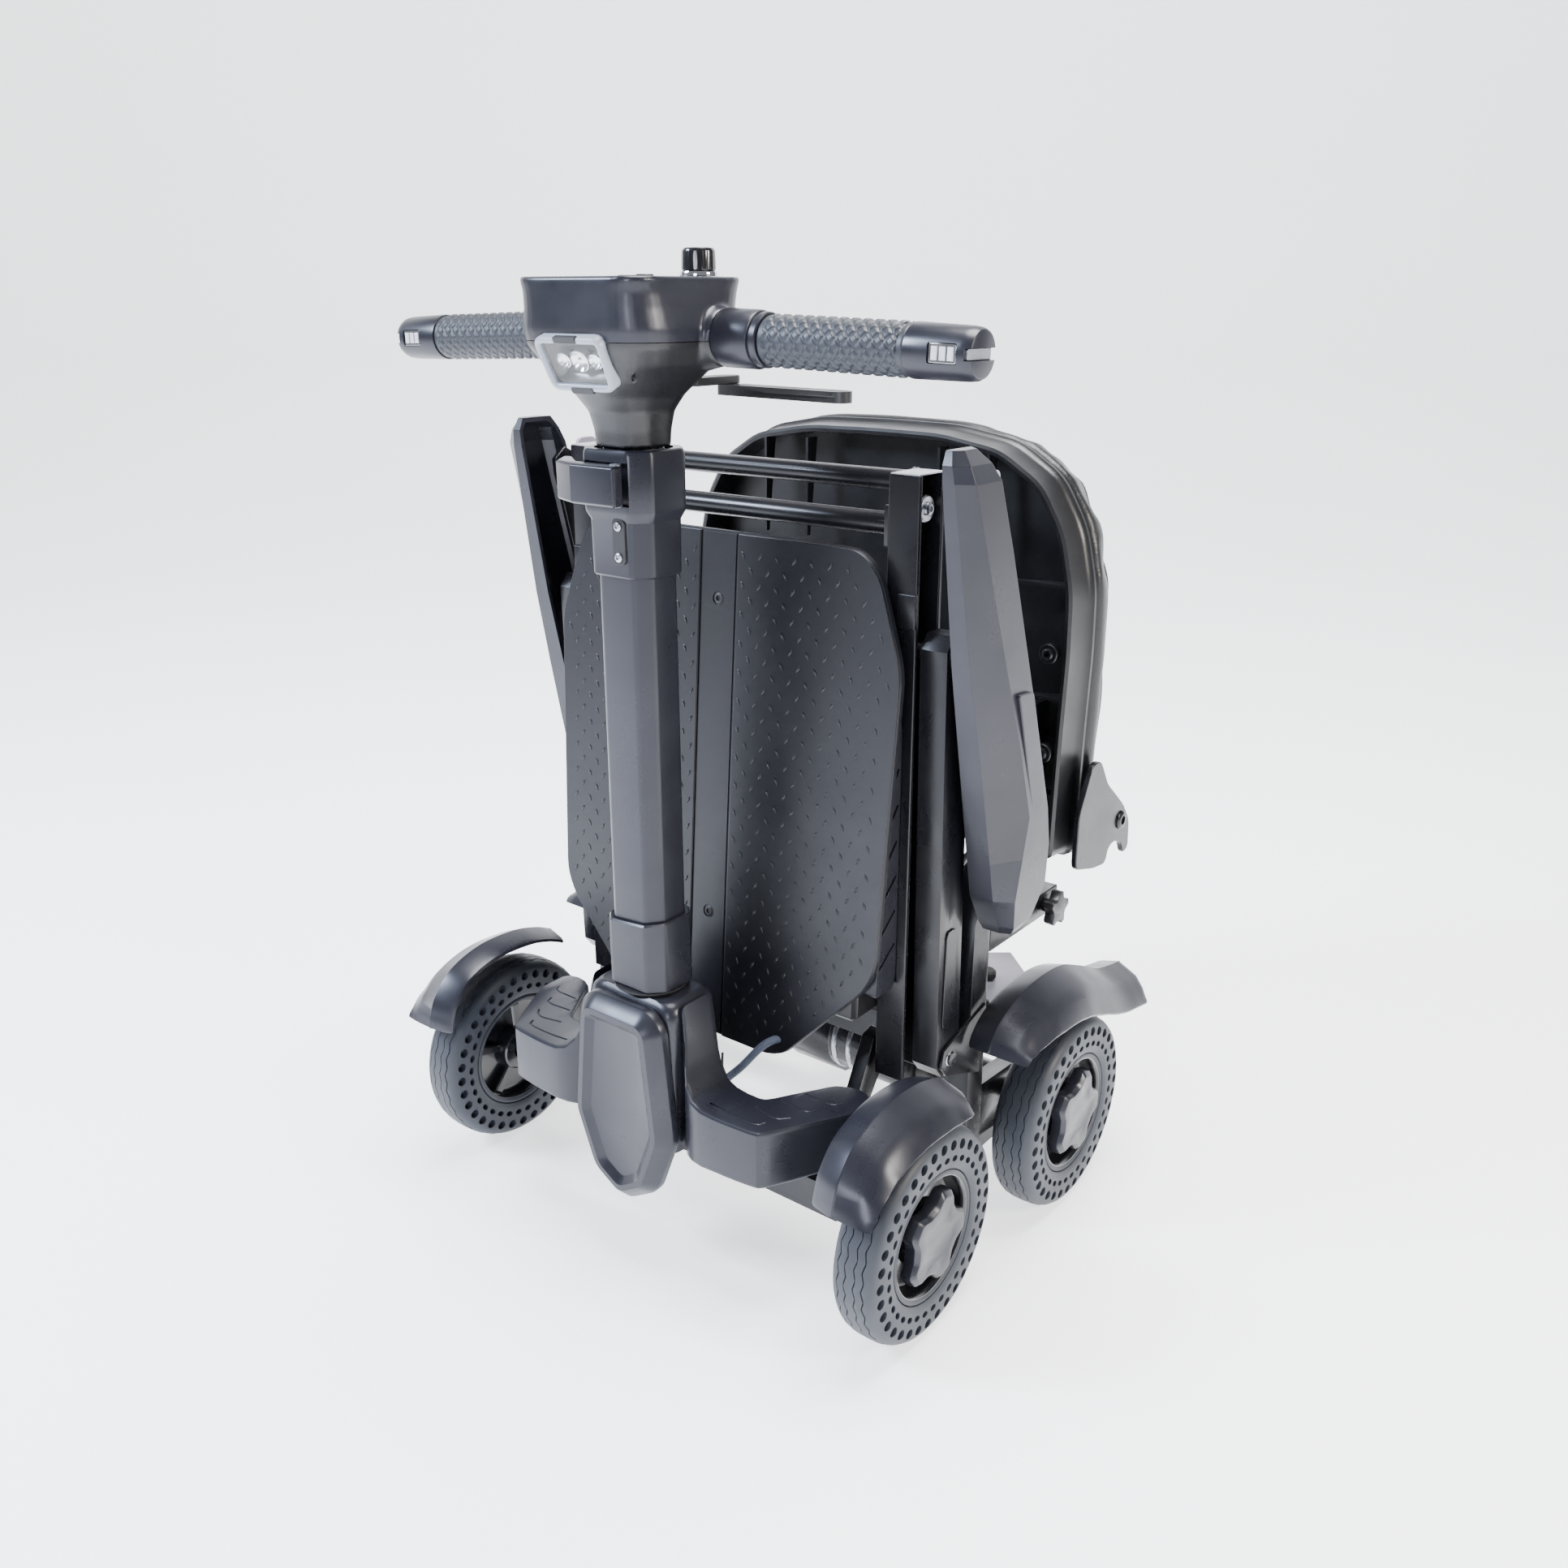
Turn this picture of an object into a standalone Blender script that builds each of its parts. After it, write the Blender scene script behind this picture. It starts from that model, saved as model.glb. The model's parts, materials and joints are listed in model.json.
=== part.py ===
"""Folding four-wheel mobility scooter, modelled folded and standing on its wheels.

Metres, +Z up, -Y is the front of the scooter and +X its right as seen from the front.
Every measure below is taken from the front axle (Y = 0), the ground (Z = 0) and the
scooter's middle plane (X = 0). ORIGIN_Y then moves the whole scooter so that its
origin lies on the ground below the middle of its box.
"""

import math

import bmesh
import bpy
from mathutils import Matrix, Vector

# Driving dimensions
ORIGIN_Y = -0.1410
GAP = 0.0003

WHEEL_R = 0.0875
WHEEL_W = 0.040
FRONT_WHEEL_X = 0.232
REAR_WHEEL_X = 0.236
REAR_AXLE_Y = 0.225
RIM_R = 0.052
AXLE_R = 0.008
BORE_R = 0.0085

FLOOR_HINGE = (0.076, 0.185)
LEG_HINGE = (0.092, 0.185)
MAIN_PIVOT = (0.084, 0.520)
SEAT_PIVOT = (0.162, 0.317)
LINK_TOP = (0.084, 0.632)
BACK_HINGE = (0.3530, 0.318)
PIN_R = 0.006

RAIL_X = (0.149, 0.175)
RAIL_Y = (0.064, 0.098)
RAIL_Z = (0.165, 0.650)
RAIL_WALL = 0.004
LEG_X = (0.1775, 0.2005)
LEG_HALF = 0.0165
LINK_X = (0.2030, 0.2080)
COVER_X = (0.2085, 0.2400)

DECK_Y = (0.044, 0.052)
DECK_HALF = 0.1755
DECK_Z = (0.172, 0.597)
DECK_BACK = 0.0075
DECK_LEAN = 0.0713

TILT_AXIS = (-0.010, 0.100)
COLUMN_Y = -0.041
COLUMN_Z = 0.2485
COLUMN_HALF = 0.0265
COLUMN_DEPTH = 0.0225
KINGPIN_X = 0.188

BAR_Y = -0.018
BAR_Z = 0.745
BAR_R = 0.0160
BAR_DROOP = math.radians(1.8)
GRIP_R = 0.0165

SEAT_PAN_Y = (0.255, 0.290)
CUSHION_Y = (0.2905, 0.342)
BACK_CUSHION_Y = (0.3465, 0.3720)
BACK_SHELL_Y = (0.3725, 0.3860)

# Colours: name, colour, roughness, metallic
COLOURS = {
    "charcoal": ((0.060, 0.062, 0.070), 0.42, 0.0),
    "black_plastic": ((0.018, 0.018, 0.020), 0.45, 0.0),
    "frame_black": ((0.022, 0.022, 0.025), 0.35, 0.6),
    "tyre_rubber": ((0.050, 0.055, 0.068), 0.80, 0.0),
    "rim_black": ((0.012, 0.012, 0.014), 0.20, 0.0),
    "deck_grey": ((0.045, 0.047, 0.055), 0.50, 0.0),
    "vinyl": ((0.020, 0.021, 0.023), 0.55, 0.0),
    "lens": ((0.75, 0.78, 0.82), 0.15, 0.0),
    "steel": ((0.42, 0.43, 0.46), 0.30, 1.0),
    "plate_grey": ((0.30, 0.28, 0.34), 0.45, 0.3),
    "cable_blue": ((0.09, 0.11, 0.16), 0.60, 0.0),
}


def clear_scene():
    for obj in list(bpy.data.objects):
        bpy.data.objects.remove(obj, do_unlink=True)


def material(node, colour):
    value, roughness, metallic = COLOURS[colour]
    made = bpy.data.materials.new(node)
    made.use_nodes = True
    shader = made.node_tree.nodes["Principled BSDF"]
    shader.inputs["Base Color"].default_value = (*value, 1.0)
    shader.inputs["Roughness"].default_value = roughness
    shader.inputs["Metallic"].default_value = metallic
    return made


def empty(name, x, y, z, parent):
    """An empty on a joint's axis, in the scooter's own measures."""
    made = bpy.data.objects.new(name, None)
    bpy.context.collection.objects.link(made)
    made.parent = parent
    offset = Vector(parent["at"]) if parent else Vector((0, 0, 0))
    made["at"] = (x, y, z)
    made.location = Vector((x, y, z)) - offset
    return made


def finish(name, bm, colour, pivot, smooth=False):
    """Turns a bmesh drawn in the scooter's measures into an object on its pivot."""
    bmesh.ops.recalc_face_normals(bm, faces=bm.faces)
    bmesh.ops.translate(bm, vec=-Vector(pivot["at"]), verts=bm.verts)
    mesh = bpy.data.meshes.new(name)
    bm.to_mesh(mesh)
    bm.free()
    if smooth:
        mesh.shade_smooth()
        mesh.set_sharp_from_angle(angle=math.radians(35))
    made = bpy.data.objects.new(name, mesh)
    mesh.materials.append(material(name, colour))
    bpy.context.collection.objects.link(made)
    made.parent = pivot
    return made


def bevel(obj, width, segments=1):
    """Rounds the sharp edges of an object."""
    modifier = obj.modifiers.new("Bevel", "BEVEL")
    modifier.width = width
    modifier.segments = segments
    modifier.limit_method = "ANGLE"
    modifier.angle_limit = math.radians(35)


def combine(target, tools, operation):
    """Joins or cuts helper bodies into an object, and hides the helpers."""
    for tool in tools:
        tool.hide_render = True
        tool.display_type = "WIRE"
        modifier = target.modifiers.new(operation.title(), "BOOLEAN")
        modifier.operation = operation
        modifier.solver = "EXACT"
        modifier.object = tool


def along(axis, a, b, c):
    """A point whose coordinate along the axis is c, and a and b across it."""
    order = {"x": (c, a, b), "y": (a, c, b), "z": (a, b, c)}
    return order[axis]


def prism(axis, outline, low, high):
    """An outline extruded along an axis: (y, z) for x, (x, z) for y, (x, y) for z."""
    return loft(axis, [(outline, low), (outline, high)])


def loft(axis, sections):
    """A closed body through outlines of equal length, each at its own station."""
    bm = bmesh.new()
    rings = []
    for outline, station in sections:
        rings.append([bm.verts.new(along(axis, a, b, station)) for a, b in outline])
    bridge(bm, rings)
    bm.faces.new(rings[0])
    bm.faces.new(rings[-1])
    return bm


def bridge(bm, rings):
    for near, far in zip(rings, rings[1:]):
        count = len(near)
        for i in range(count):
            j = (i + 1) % count
            bm.faces.new((near[i], near[j], far[j], far[i]))


def dish(axis, outline, low, high, wall, floor):
    """A prism hollowed from its low side, with a wall and a floor."""
    inner = inset(outline, wall)
    bm = bmesh.new()
    stations = ((outline, high), (outline, low), (inner, low), (inner, high - floor))
    rings = []
    for points, station in stations:
        rings.append([bm.verts.new(along(axis, a, b, station)) for a, b in points])
    bridge(bm, rings)
    bm.faces.new(rings[0])
    bm.faces.new(rings[-1])
    return bm


def inset(outline, distance):
    """Moves each side of an outline inwards by a distance."""
    count = len(outline)
    area = 0.0
    for i in range(count):
        (ax, ay), (bx, by) = outline[i], outline[(i + 1) % count]
        area += ax * by - bx * ay
    turn = 1.0 if area > 0 else -1.0
    moved = []
    for i in range(count):
        before = Vector(outline[i]) - Vector(outline[i - 1])
        after = Vector(outline[(i + 1) % count]) - Vector(outline[i])
        first = Vector((-before.y, before.x)).normalized() * turn
        second = Vector((-after.y, after.x)).normalized() * turn
        shift = (first + second) / (1.0 + first.dot(second))
        moved.append(tuple(Vector(outline[i]) + shift * distance))
    return moved


def circle(a, b, radius, count, turn=0.0):
    points = []
    for i in range(count):
        angle = turn + 2 * math.pi * i / count
        points.append((a + radius * math.cos(angle), b + radius * math.sin(angle)))
    return points


def rectangle(a0, a1, b0, b1):
    return [(a0, b0), (a1, b0), (a1, b1), (a0, b1)]


def bar(axis, a, b, radius, low, high, count=16):
    return prism(axis, circle(a, b, radius, count, math.pi / count), low, high)


def lathe(profile, y, z, count):
    """A ring turned about an axis along X, from a closed loop of (x, radius), a flat side down."""
    bm = bmesh.new()
    rings = []
    for i in range(count):
        angle = 2 * math.pi * (i + 0.5) / count
        ring = []
        for x, flat in profile:
            radius = flat / math.cos(math.pi / count)
            point = (x, y + radius * math.cos(angle), z + radius * math.sin(angle))
            ring.append(bm.verts.new(point))
        rings.append(ring)
    rings.append(rings[0])
    bridge(bm, rings)
    return bm


def mirrored(bm, side):
    """The same body on the other side of the middle plane when side is -1."""
    if side < 0:
        bmesh.ops.transform(bm, matrix=Matrix.Diagonal((-1, 1, 1, 1)), verts=bm.verts)
    return bm


def helper(name, bm, pivot):
    return finish(name, bm, "steel", pivot)


SIDES = (("right", 1), ("left", -1))


# Wheels: a solid tyre on a rim whose middle carries the hub and its cap
def build_wheel(place, side, x, y, pivot):
    half = WHEEL_W / 2
    tyre = [
        (x - half + 0.003, RIM_R + 3 * GAP),
        (x - half, RIM_R + 0.012),
        (x - half, WHEEL_R - 0.008),
        (x - half + 0.009, WHEEL_R),
        (x + half - 0.009, WHEEL_R),
        (x + half, WHEEL_R - 0.008),
        (x + half, RIM_R + 0.012),
        (x + half - 0.003, RIM_R + 3 * GAP),
    ]
    body = mirrored(lathe(tyre, y, WHEEL_R, 40), side)
    finish(place + "_tyre", body, "tyre_rubber", pivot, smooth=True)
    rim = [
        (x - 0.016, RIM_R),
        (x + 0.016, RIM_R),
        (x + 0.016, RIM_R - 0.006),
        (x + 0.002, RIM_R - 0.010),
        (x + 0.002, 0.033),
        (x + 0.014, 0.031),
        (x + 0.014, BORE_R),
        (x - 0.017, BORE_R),
        (x - 0.017, 0.020),
        (x - 0.004, 0.024),
        (x - 0.004, RIM_R - 0.010),
        (x - 0.016, RIM_R - 0.006),
    ]
    body = mirrored(lathe(rim, y, WHEEL_R, 24), side)
    hub = finish(place + "_rim", body, "rim_black", pivot, smooth=True)
    cap = loft(
        "x",
        [
            (star(y, WHEEL_R, 0.040, 0.032), x + 0.0125),
            (star(y, WHEEL_R, 0.040, 0.032), x + 0.0200),
            (star(y, WHEEL_R, 0.036, 0.029), x + 0.0240),
        ],
    )
    combine(hub, [helper(place + "_hub_cap", mirrored(cap, side), pivot)], "UNION")


def star(a, b, outer, inner, lobes=5):
    """An outline with broad lobes and shallow hollows between them."""
    points = []
    for i in range(lobes * 4):
        angle = 2 * math.pi * i / (lobes * 4)
        radius = outer if i % 4 in (0, 1) else inner
        points.append((a + radius * math.cos(angle), b + radius * math.sin(angle)))
    return points


# Mudguards: a folded shell over the top of a wheel
def build_fender(name, side, x0, x1, crown, drop, wall, pivot):
    """The crown lists (y, z) along the top; the lip drops at the outer edge."""
    ridge = x0 + 0.38 * (x1 - x0)
    bm = bmesh.new()
    rings = []
    for (y, z), fall in zip(crown, drop):
        section = [
            (x0, z - 0.006),
            (ridge, z),
            (x1 - 0.010, z - 0.007),
            (x1, z - fall),
            (x1 - wall, z - fall),
            (x1 - 0.010 - wall, z - 0.007 - wall),
            (ridge, z - wall),
            (x0, z - 0.006 - wall),
        ]
        rings.append([bm.verts.new((a, y, b)) for a, b in section])
    bridge(bm, rings)
    bm.faces.new(rings[0])
    bm.faces.new(rings[-1])
    return finish(name, mirrored(bm, side), "charcoal", pivot)


def build_rear_chassis(root):
    y, z = REAR_AXLE_Y, WHEEL_R
    shape = loft(
        "x",
        [
            (circle(y, z, AXLE_R, 12), -REAR_WHEEL_X - 0.0125),
            (circle(y, z, AXLE_R, 12), -0.196),
            (circle(y, z, 0.019, 12), -0.195),
            (circle(y, z, 0.019, 12), -0.050),
            (circle(y, z, 0.040, 12), -0.040),
            (circle(y, z, 0.040, 12), 0.020),
            (circle(y, z, 0.019, 12), 0.032),
            (circle(y, z, 0.019, 12), 0.195),
            (circle(y, z, AXLE_R, 12), 0.196),
            (circle(y, z, AXLE_R, 12), REAR_WHEEL_X + 0.0125),
        ],
    )
    finish("rear_axle_housing", shape, "frame_black", root, smooth=True)
    motor = loft(
        "x",
        [
            (circle(0.176, 0.118, 0.020, 16), 0.036),
            (circle(0.176, 0.118, 0.032, 16), 0.042),
            (circle(0.176, 0.118, 0.032, 16), 0.128),
            (circle(0.176, 0.118, 0.026, 16), 0.134),
        ],
    )
    finish("drive_motor", motor, "frame_black", root, smooth=True)
    beam = prism("x", rectangle(0.126, 0.149, 0.152, 0.182), -0.1790, 0.1790)
    frame = finish("rear_frame", beam, "frame_black", root)
    controller = prism("y", rectangle(-0.110, 0.000, 0.118, 0.172), 0.1505, 0.178)
    bevel(finish("controller_box", controller, "black_plastic", root), 0.003)
    for name, side in SIDES:
        build_upright(name, side, frame, root)
        crown = [
            (0.106, 0.196),
            (0.128, 0.214),
            (0.172, 0.226),
            (0.222, 0.224),
            (0.262, 0.208),
            (0.300, 0.184),
            (0.330, 0.174),
            (0.358, 0.158),
        ]
        drop = [0.010, 0.022, 0.033, 0.036, 0.034, 0.030, 0.026, 0.024]
        build_fender(
            "rear_fender_" + name, side, 0.2075, 0.264, crown, drop, 0.004, root
        )
    plate = prism(
        "z",
        [(0.118, 0.190), (0.196, 0.150 + GAP), (0.199, 0.240), (0.150, 0.285), (0.118, 0.260)],
        0.186,
        0.190,
    )
    finish("rear_plate", plate, "plate_grey", root)
    tube = dish("y", rectangle(-0.2010, -0.1790, 0.256, 0.278), -0.268, -0.1525, 0.0025, 0.004)
    bmesh.ops.transform(tube, matrix=Matrix.Diagonal((-1, -1, 1, 1)), verts=tube.verts)
    finish("receiver_tube", tube, "frame_black", root)


def build_upright(name, side, frame, root):
    """Welds an upright to the rear frame: the seat pivots at its top, the leg on its lug."""
    sy, sz = SEAT_PIVOT
    ly, lz = LEG_HINGE
    post = [
        (0.125, 0.075),
        (0.150, 0.075),
        (0.150, 0.280),
        (0.174, 0.300),
        (sy + 0.014, sz + 0.010),
        (sy + 0.004, sz + 0.016),
        (sy - 0.016, sz + 0.014),
        (0.125, 0.290),
    ]
    body = helper(
        "post_body_" + name,
        mirrored(prism("x", post, LEG_X[0], LEG_X[1] + 0.001), side),
        root,
    )
    lug = [
        (0.140, 0.150),
        (0.146, 0.212),
        (ly + 0.006, lz + 0.015),
        (ly - 0.010, lz + 0.010),
        (ly - 0.014, lz - 0.004),
        (ly - 0.006, lz - 0.014),
    ]
    plate = helper(
        "lug_body_" + name,
        mirrored(prism("x", lug, LEG_X[1] + GAP, LEG_X[1] + 0.003), side),
        root,
    )
    shoe = [
        (0.128, 0.066),
        (0.150, 0.058),
        (0.246, 0.058),
        (0.256, 0.070),
        (0.256, 0.104),
        (0.244, 0.118),
        (0.128, 0.126),
    ]
    arm = helper(
        "arm_body_" + name,
        mirrored(prism("x", shoe, LEG_X[0] + 0.001, LEG_X[1] - 0.006), side),
        root,
    )
    hole = helper(
        "axle_hole_" + name,
        mirrored(bar("x", REAR_AXLE_Y, WHEEL_R, 0.0204, 0.17, 0.21, 12), side),
        root,
    )
    seat_hole = helper(
        "seat_pin_hole_" + name,
        mirrored(bar("x", sy, sz, PIN_R + GAP, 0.15, 0.22, 12), side),
        root,
    )
    leg_pin = helper(
        "leg_pin_" + name,
        mirrored(bar("x", ly, lz, PIN_R, LEG_X[0] + 0.001, 0.2060, 12), side),
        root,
    )
    combine(frame, [body, plate, arm, leg_pin], "UNION")
    combine(frame, [hole, seat_hole], "DIFFERENCE")


def build_star_knob(root):
    x, y, z = 0.2013, 0.244, 0.267
    pivot = empty("star_knob_axis", x, y, z, root)
    knob = loft(
        "x",
        [
            (star(y, z, 0.006, 0.006), x),
            (star(y, z, 0.006, 0.006), x + 0.006),
            (star(y, z, 0.016, 0.011), x + 0.0065),
            (star(y, z, 0.016, 0.011), x + 0.016),
        ],
    )
    finish("star_knob", knob, "black_plastic", pivot)


# Legs between the rear chassis and the main pivot
def build_legs(root):
    ly, lz = LEG_HINGE
    my, mz = MAIN_PIVOT
    pivot = empty("leg_axis", 0, ly, lz, root)
    outline = [
        (ly - LEG_HALF, lz - 0.004),
        (ly - 0.008, lz - 0.015),
        (ly + 0.008, lz - 0.015),
        (ly + LEG_HALF, lz - 0.004),
        (my + LEG_HALF, mz + 0.006),
        (my + 0.008, mz + 0.017),
        (my - 0.008, mz + 0.017),
        (my - LEG_HALF, mz + 0.006),
    ]
    for name, side in SIDES:
        leg = finish(
            "rear_leg_" + name,
            mirrored(prism("x", outline, *LEG_X), side),
            "frame_black",
            pivot,
        )
        low = helper(
            "leg_low_hole_" + name,
            mirrored(bar("x", ly, lz, PIN_R + GAP, 0.17, 0.21, 12), side),
            pivot,
        )
        top = helper(
            "leg_top_hole_" + name,
            mirrored(bar("x", my, mz, PIN_R + GAP, 0.17, 0.21, 12), side),
            pivot,
        )
        combine(leg, [low, top], "DIFFERENCE")
    return pivot


def pin_shape(y, z, low, high):
    """A pin along X with a hexagonal head on its outer end."""
    section = circle(y, z, PIN_R, 12)
    head = circle(y, z, 0.0095, 12)
    return loft("x", [(section, low), (section, high), (head, high + 0.0003), (head, high + 0.005)])


# Floor: side rails, deck, battery and the tubes between the rails
def build_floor(legs):
    my, mz = MAIN_PIVOT
    pivot = empty("floor_axis", 0, my, mz, legs)
    x0, x1 = RAIL_X
    y0, y1 = RAIL_Y
    channel = [
        (x0, y0),
        (x1, y0),
        (x1, y0 + RAIL_WALL),
        (x0 + RAIL_WALL, y0 + RAIL_WALL),
        (x0 + RAIL_WALL, y1 - RAIL_WALL),
        (x1, y1 - RAIL_WALL),
        (x1, y1),
        (x0, y1),
    ]
    for name, side in SIDES:
        rail = finish(
            "side_rail_" + name,
            mirrored(prism("z", channel, *RAIL_Z), side),
            "frame_black",
            pivot,
        )
        main = helper(
            "rail_main_hole_" + name,
            mirrored(bar("x", my, mz, PIN_R + GAP, 0.14, 0.18, 12), side),
            pivot,
        )
        low = helper(
            "rail_low_hole_" + name,
            mirrored(bar("x", *FLOOR_HINGE, PIN_R + GAP, 0.14, 0.18, 12), side),
            pivot,
        )
        combine(rail, [main, low], "DIFFERENCE")
        pin = pin_shape(my, mz, 0.1470, 0.2010)
        finish("main_pivot_pin_" + name, mirrored(pin, side), "steel", pivot)
    build_deck(pivot)
    tube = bar("x", 0.081, 0.612, 0.0085, -x0 + GAP, x0 - GAP)
    finish("lower_cross_tube", tube, "frame_black", pivot, smooth=True)
    tube = bar("x", y1 + GAP + 0.008, 0.640, 0.008, -0.1745, 0.1745)
    finish("upper_cross_tube", tube, "frame_black", pivot, smooth=True)
    return pivot


def build_deck(pivot):
    low, high = DECK_Z
    outline = [
        (-0.068, low),
        (0.068, low),
        (0.086, low + 0.006),
        (0.160, low + 0.084),
        (DECK_HALF - 0.006, low + 0.104),
        (DECK_HALF, high - 0.086),
        (0.152, high - 0.018),
        (0.134, high - 0.001),
        (0.090, high),
        (-0.090, high),
        (-0.134, high - 0.001),
        (-0.152, high - 0.018),
        (-DECK_HALF, high - 0.086),
        (-DECK_HALF + 0.006, low + 0.104),
        (-0.160, low + 0.084),
        (-0.086, low + 0.006),
    ]
    slim = inset(outline, 0.002)
    body = loft(
        "y",
        [(slim, DECK_Y[0]), (outline, DECK_Y[0] + 0.002), (outline, DECK_Y[1])],
    )
    for vert in body.verts:
        vert.co.y += lean(vert.co.z)
    finish("deck_plate", body, "deck_grey", pivot)
    wedge = [
        (DECK_Y[1] + GAP + lean(0.222), 0.222),
        (0.096, 0.222),
        (0.096, 0.500),
        (DECK_Y[1] + GAP + lean(0.500), 0.500),
    ]
    case = prism("x", wedge, -x_inside(), x_inside())
    bevel(finish("battery_case", case, "black_plastic", pivot), 0.004)


def lean(z):
    """How far back the tread stands at a height: the folded deck leans backwards."""
    return DECK_BACK + DECK_LEAN * (z - DECK_Z[1])


def x_inside():
    """Half the width between the rails, less the clearance."""
    return RAIL_X[0] - 2 * GAP


# Front chassis: axle beam with the floor's hinge lugs, steering head and footrests
def build_front_chassis(floor):
    fy, fz = FLOOR_HINGE
    pivot = empty("front_axis", 0, fy, fz, floor)
    section = [(-0.016, 0.074), (0.016, 0.074), (0.020, 0.080), (0.020, 0.100), (-0.016, 0.104)]
    beam = finish("front_axle_beam", prism("x", section, -0.169, 0.169), "frame_black", pivot)
    tools = []
    for name, side in SIDES:
        lug = [
            (-0.008, 0.080),
            (0.018, 0.078),
            (fy + 0.012, fz - 0.010),
            (fy + 0.012, fz + 0.006),
            (fy + 0.002, fz + 0.013),
            (fy - 0.010, fz + 0.010),
            (0.030, 0.126),
            (0.016, 0.102),
            (-0.008, 0.102),
        ]
        body = mirrored(prism("x", lug, 0.1340, 0.1460), side)
        tools.append(helper("hinge_lug_" + name, body, pivot))
    combine(beam, tools, "UNION")
    for name, side in SIDES:
        pin = mirrored(bar("x", fy, fz, PIN_R, 0.1400, 0.1560, 12), side)
        combine(beam, [helper("floor_pin_" + name, pin, pivot)], "UNION")
        build_footrest(name, side, pivot)
        build_knuckle(name, side, pivot)
    return pivot


def build_footrest(name, side, pivot):
    top = [
        (0.058, -0.078),
        (0.128, -0.078),
        (0.160, -0.050),
        (0.168, -0.030),
        (0.168, 0.006),
        (0.158, 0.016),
        (0.124, 0.018),
        (0.096, -0.030),
        (0.058, -0.032),
    ]
    bottom = [(x, y * 0.96) for x, y in inset(top, 0.004)]
    body = loft("z", [(bottom, 0.122), (top, 0.136), (top, 0.168), (inset(top, 0.003), 0.171)])
    finish("footrest_" + name, mirrored(body, side), "charcoal", pivot)


def build_knuckle(name, side, pivot):
    x = KINGPIN_X * side
    axis = empty("kingpin_" + name, x, 0, WHEEL_R, pivot)
    body = loft(
        "x",
        [
            (rectangle(-0.014, 0.014, 0.066, 0.109), 0.1740),
            (rectangle(-0.014, 0.014, 0.066, 0.109), 0.1960),
            (circle(0, WHEEL_R, AXLE_R, 4, -0.75 * math.pi), 0.1965),
            (circle(0, WHEEL_R, AXLE_R, 4, -0.75 * math.pi), FRONT_WHEEL_X + 0.0125),
        ],
    )
    finish("steering_knuckle_" + name, mirrored(body, side), "frame_black", axis)
    crown = [
        (-0.092, 0.142),
        (-0.089, 0.176),
        (-0.068, 0.199),
        (-0.034, 0.207),
        (0.012, 0.206),
        (0.044, 0.191),
        (0.062, 0.168),
    ]
    drop = [0.012, 0.018, 0.024, 0.026, 0.026, 0.022, 0.016]
    build_fender(
        "front_fender_" + name, side, 0.2005, 0.256, crown, drop, 0.004, axis
    )
    wheel = empty("front_wheel_axis_" + name, FRONT_WHEEL_X * side, 0, WHEEL_R, axis)
    build_wheel("front_" + name, side, FRONT_WHEEL_X, 0, wheel)


# Steering head: the block that the column stands in, and its faceted cover
def build_head(front):
    ty, tz = TILT_AXIS
    pivot = empty("tilt_axis", 0, ty, tz, front)
    block = [
        (-0.0640, 0.108),
        (-0.0180, 0.108),
        (-0.0180, 0.160),
        (-0.0130, 0.180),
        (-0.0100, 0.236),
        (-0.0160, 0.2445),
        (-0.0680, 0.2445),
        (-0.0700, 0.150),
    ]
    bevel(finish("head_housing", prism("x", block, -0.048, 0.048), "charcoal", pivot), 0.004)
    outline = [
        (0.000, 0.058),
        (0.034, 0.078),
        (0.0545, 0.130),
        (0.044, 0.228),
        (0.030, 0.242),
        (-0.030, 0.242),
        (-0.044, 0.228),
        (-0.0545, 0.130),
        (-0.034, 0.078),
    ]
    rim = inset(outline, 0.009)
    panel = inset(outline, 0.020)
    deep = inset(outline, 0.024)
    body = loft(
        "y",
        [(outline, -0.0705), (outline, -0.078), (rim, -0.0885), (panel, -0.090), (deep, -0.087)],
    )
    finish("head_cover", body, "charcoal", pivot)
    return pivot


def octagon(half_x, half_y, cut, y):
    return [
        (half_x, y - half_y + cut),
        (half_x, y + half_y - cut),
        (half_x - cut, y + half_y),
        (-half_x + cut, y + half_y),
        (-half_x, y + half_y - cut),
        (-half_x, y - half_y + cut),
        (-half_x + cut, y - half_y),
        (half_x - cut, y - half_y),
    ]


# Column: sleeve, octagonal tube, clamp collar and its lever
def build_column(head):
    pivot = empty("steer_axis", 0, COLUMN_Y, COLUMN_Z, head)
    outer = octagon(COLUMN_HALF, COLUMN_DEPTH, 0.0100, COLUMN_Y)
    bore = octagon(0.0225, 0.0185, 0.0085, COLUMN_Y)
    tube = pipe(outer, bore, COLUMN_Z + 0.004, 0.602)
    finish("column_tube", tube, "charcoal", pivot)
    sleeve = pipe(
        octagon(0.0305, 0.0265, 0.0115, COLUMN_Y),
        octagon(COLUMN_HALF + GAP, COLUMN_DEPTH + GAP, 0.0101, COLUMN_Y),
        COLUMN_Z,
        0.306,
    )
    for vert in sleeve.verts:
        if vert.co.z > 0.30:
            vert.co.z += 0.09 * vert.co.x
    finish("column_sleeve", sleeve, "charcoal", pivot)
    collar = pipe(
        octagon(0.0335, 0.0300, 0.0125, COLUMN_Y),
        octagon(COLUMN_HALF + GAP, COLUMN_DEPTH + GAP, 0.0101, COLUMN_Y),
        0.578,
        0.668,
    )
    finish("clamp_collar", collar, "charcoal", pivot)
    build_cam_lever(pivot)
    return pivot


def pipe(outer, inner, low, high):
    """An upright tube with an outer and an inner outline of equal length."""
    bm = bmesh.new()
    rings = []
    for outline, z in ((outer, low), (outer, high), (inner, high), (inner, low)):
        rings.append([bm.verts.new((x, y, z)) for x, y in outline])
    rings.append(rings[0])
    bridge(bm, rings)
    return bm


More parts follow.
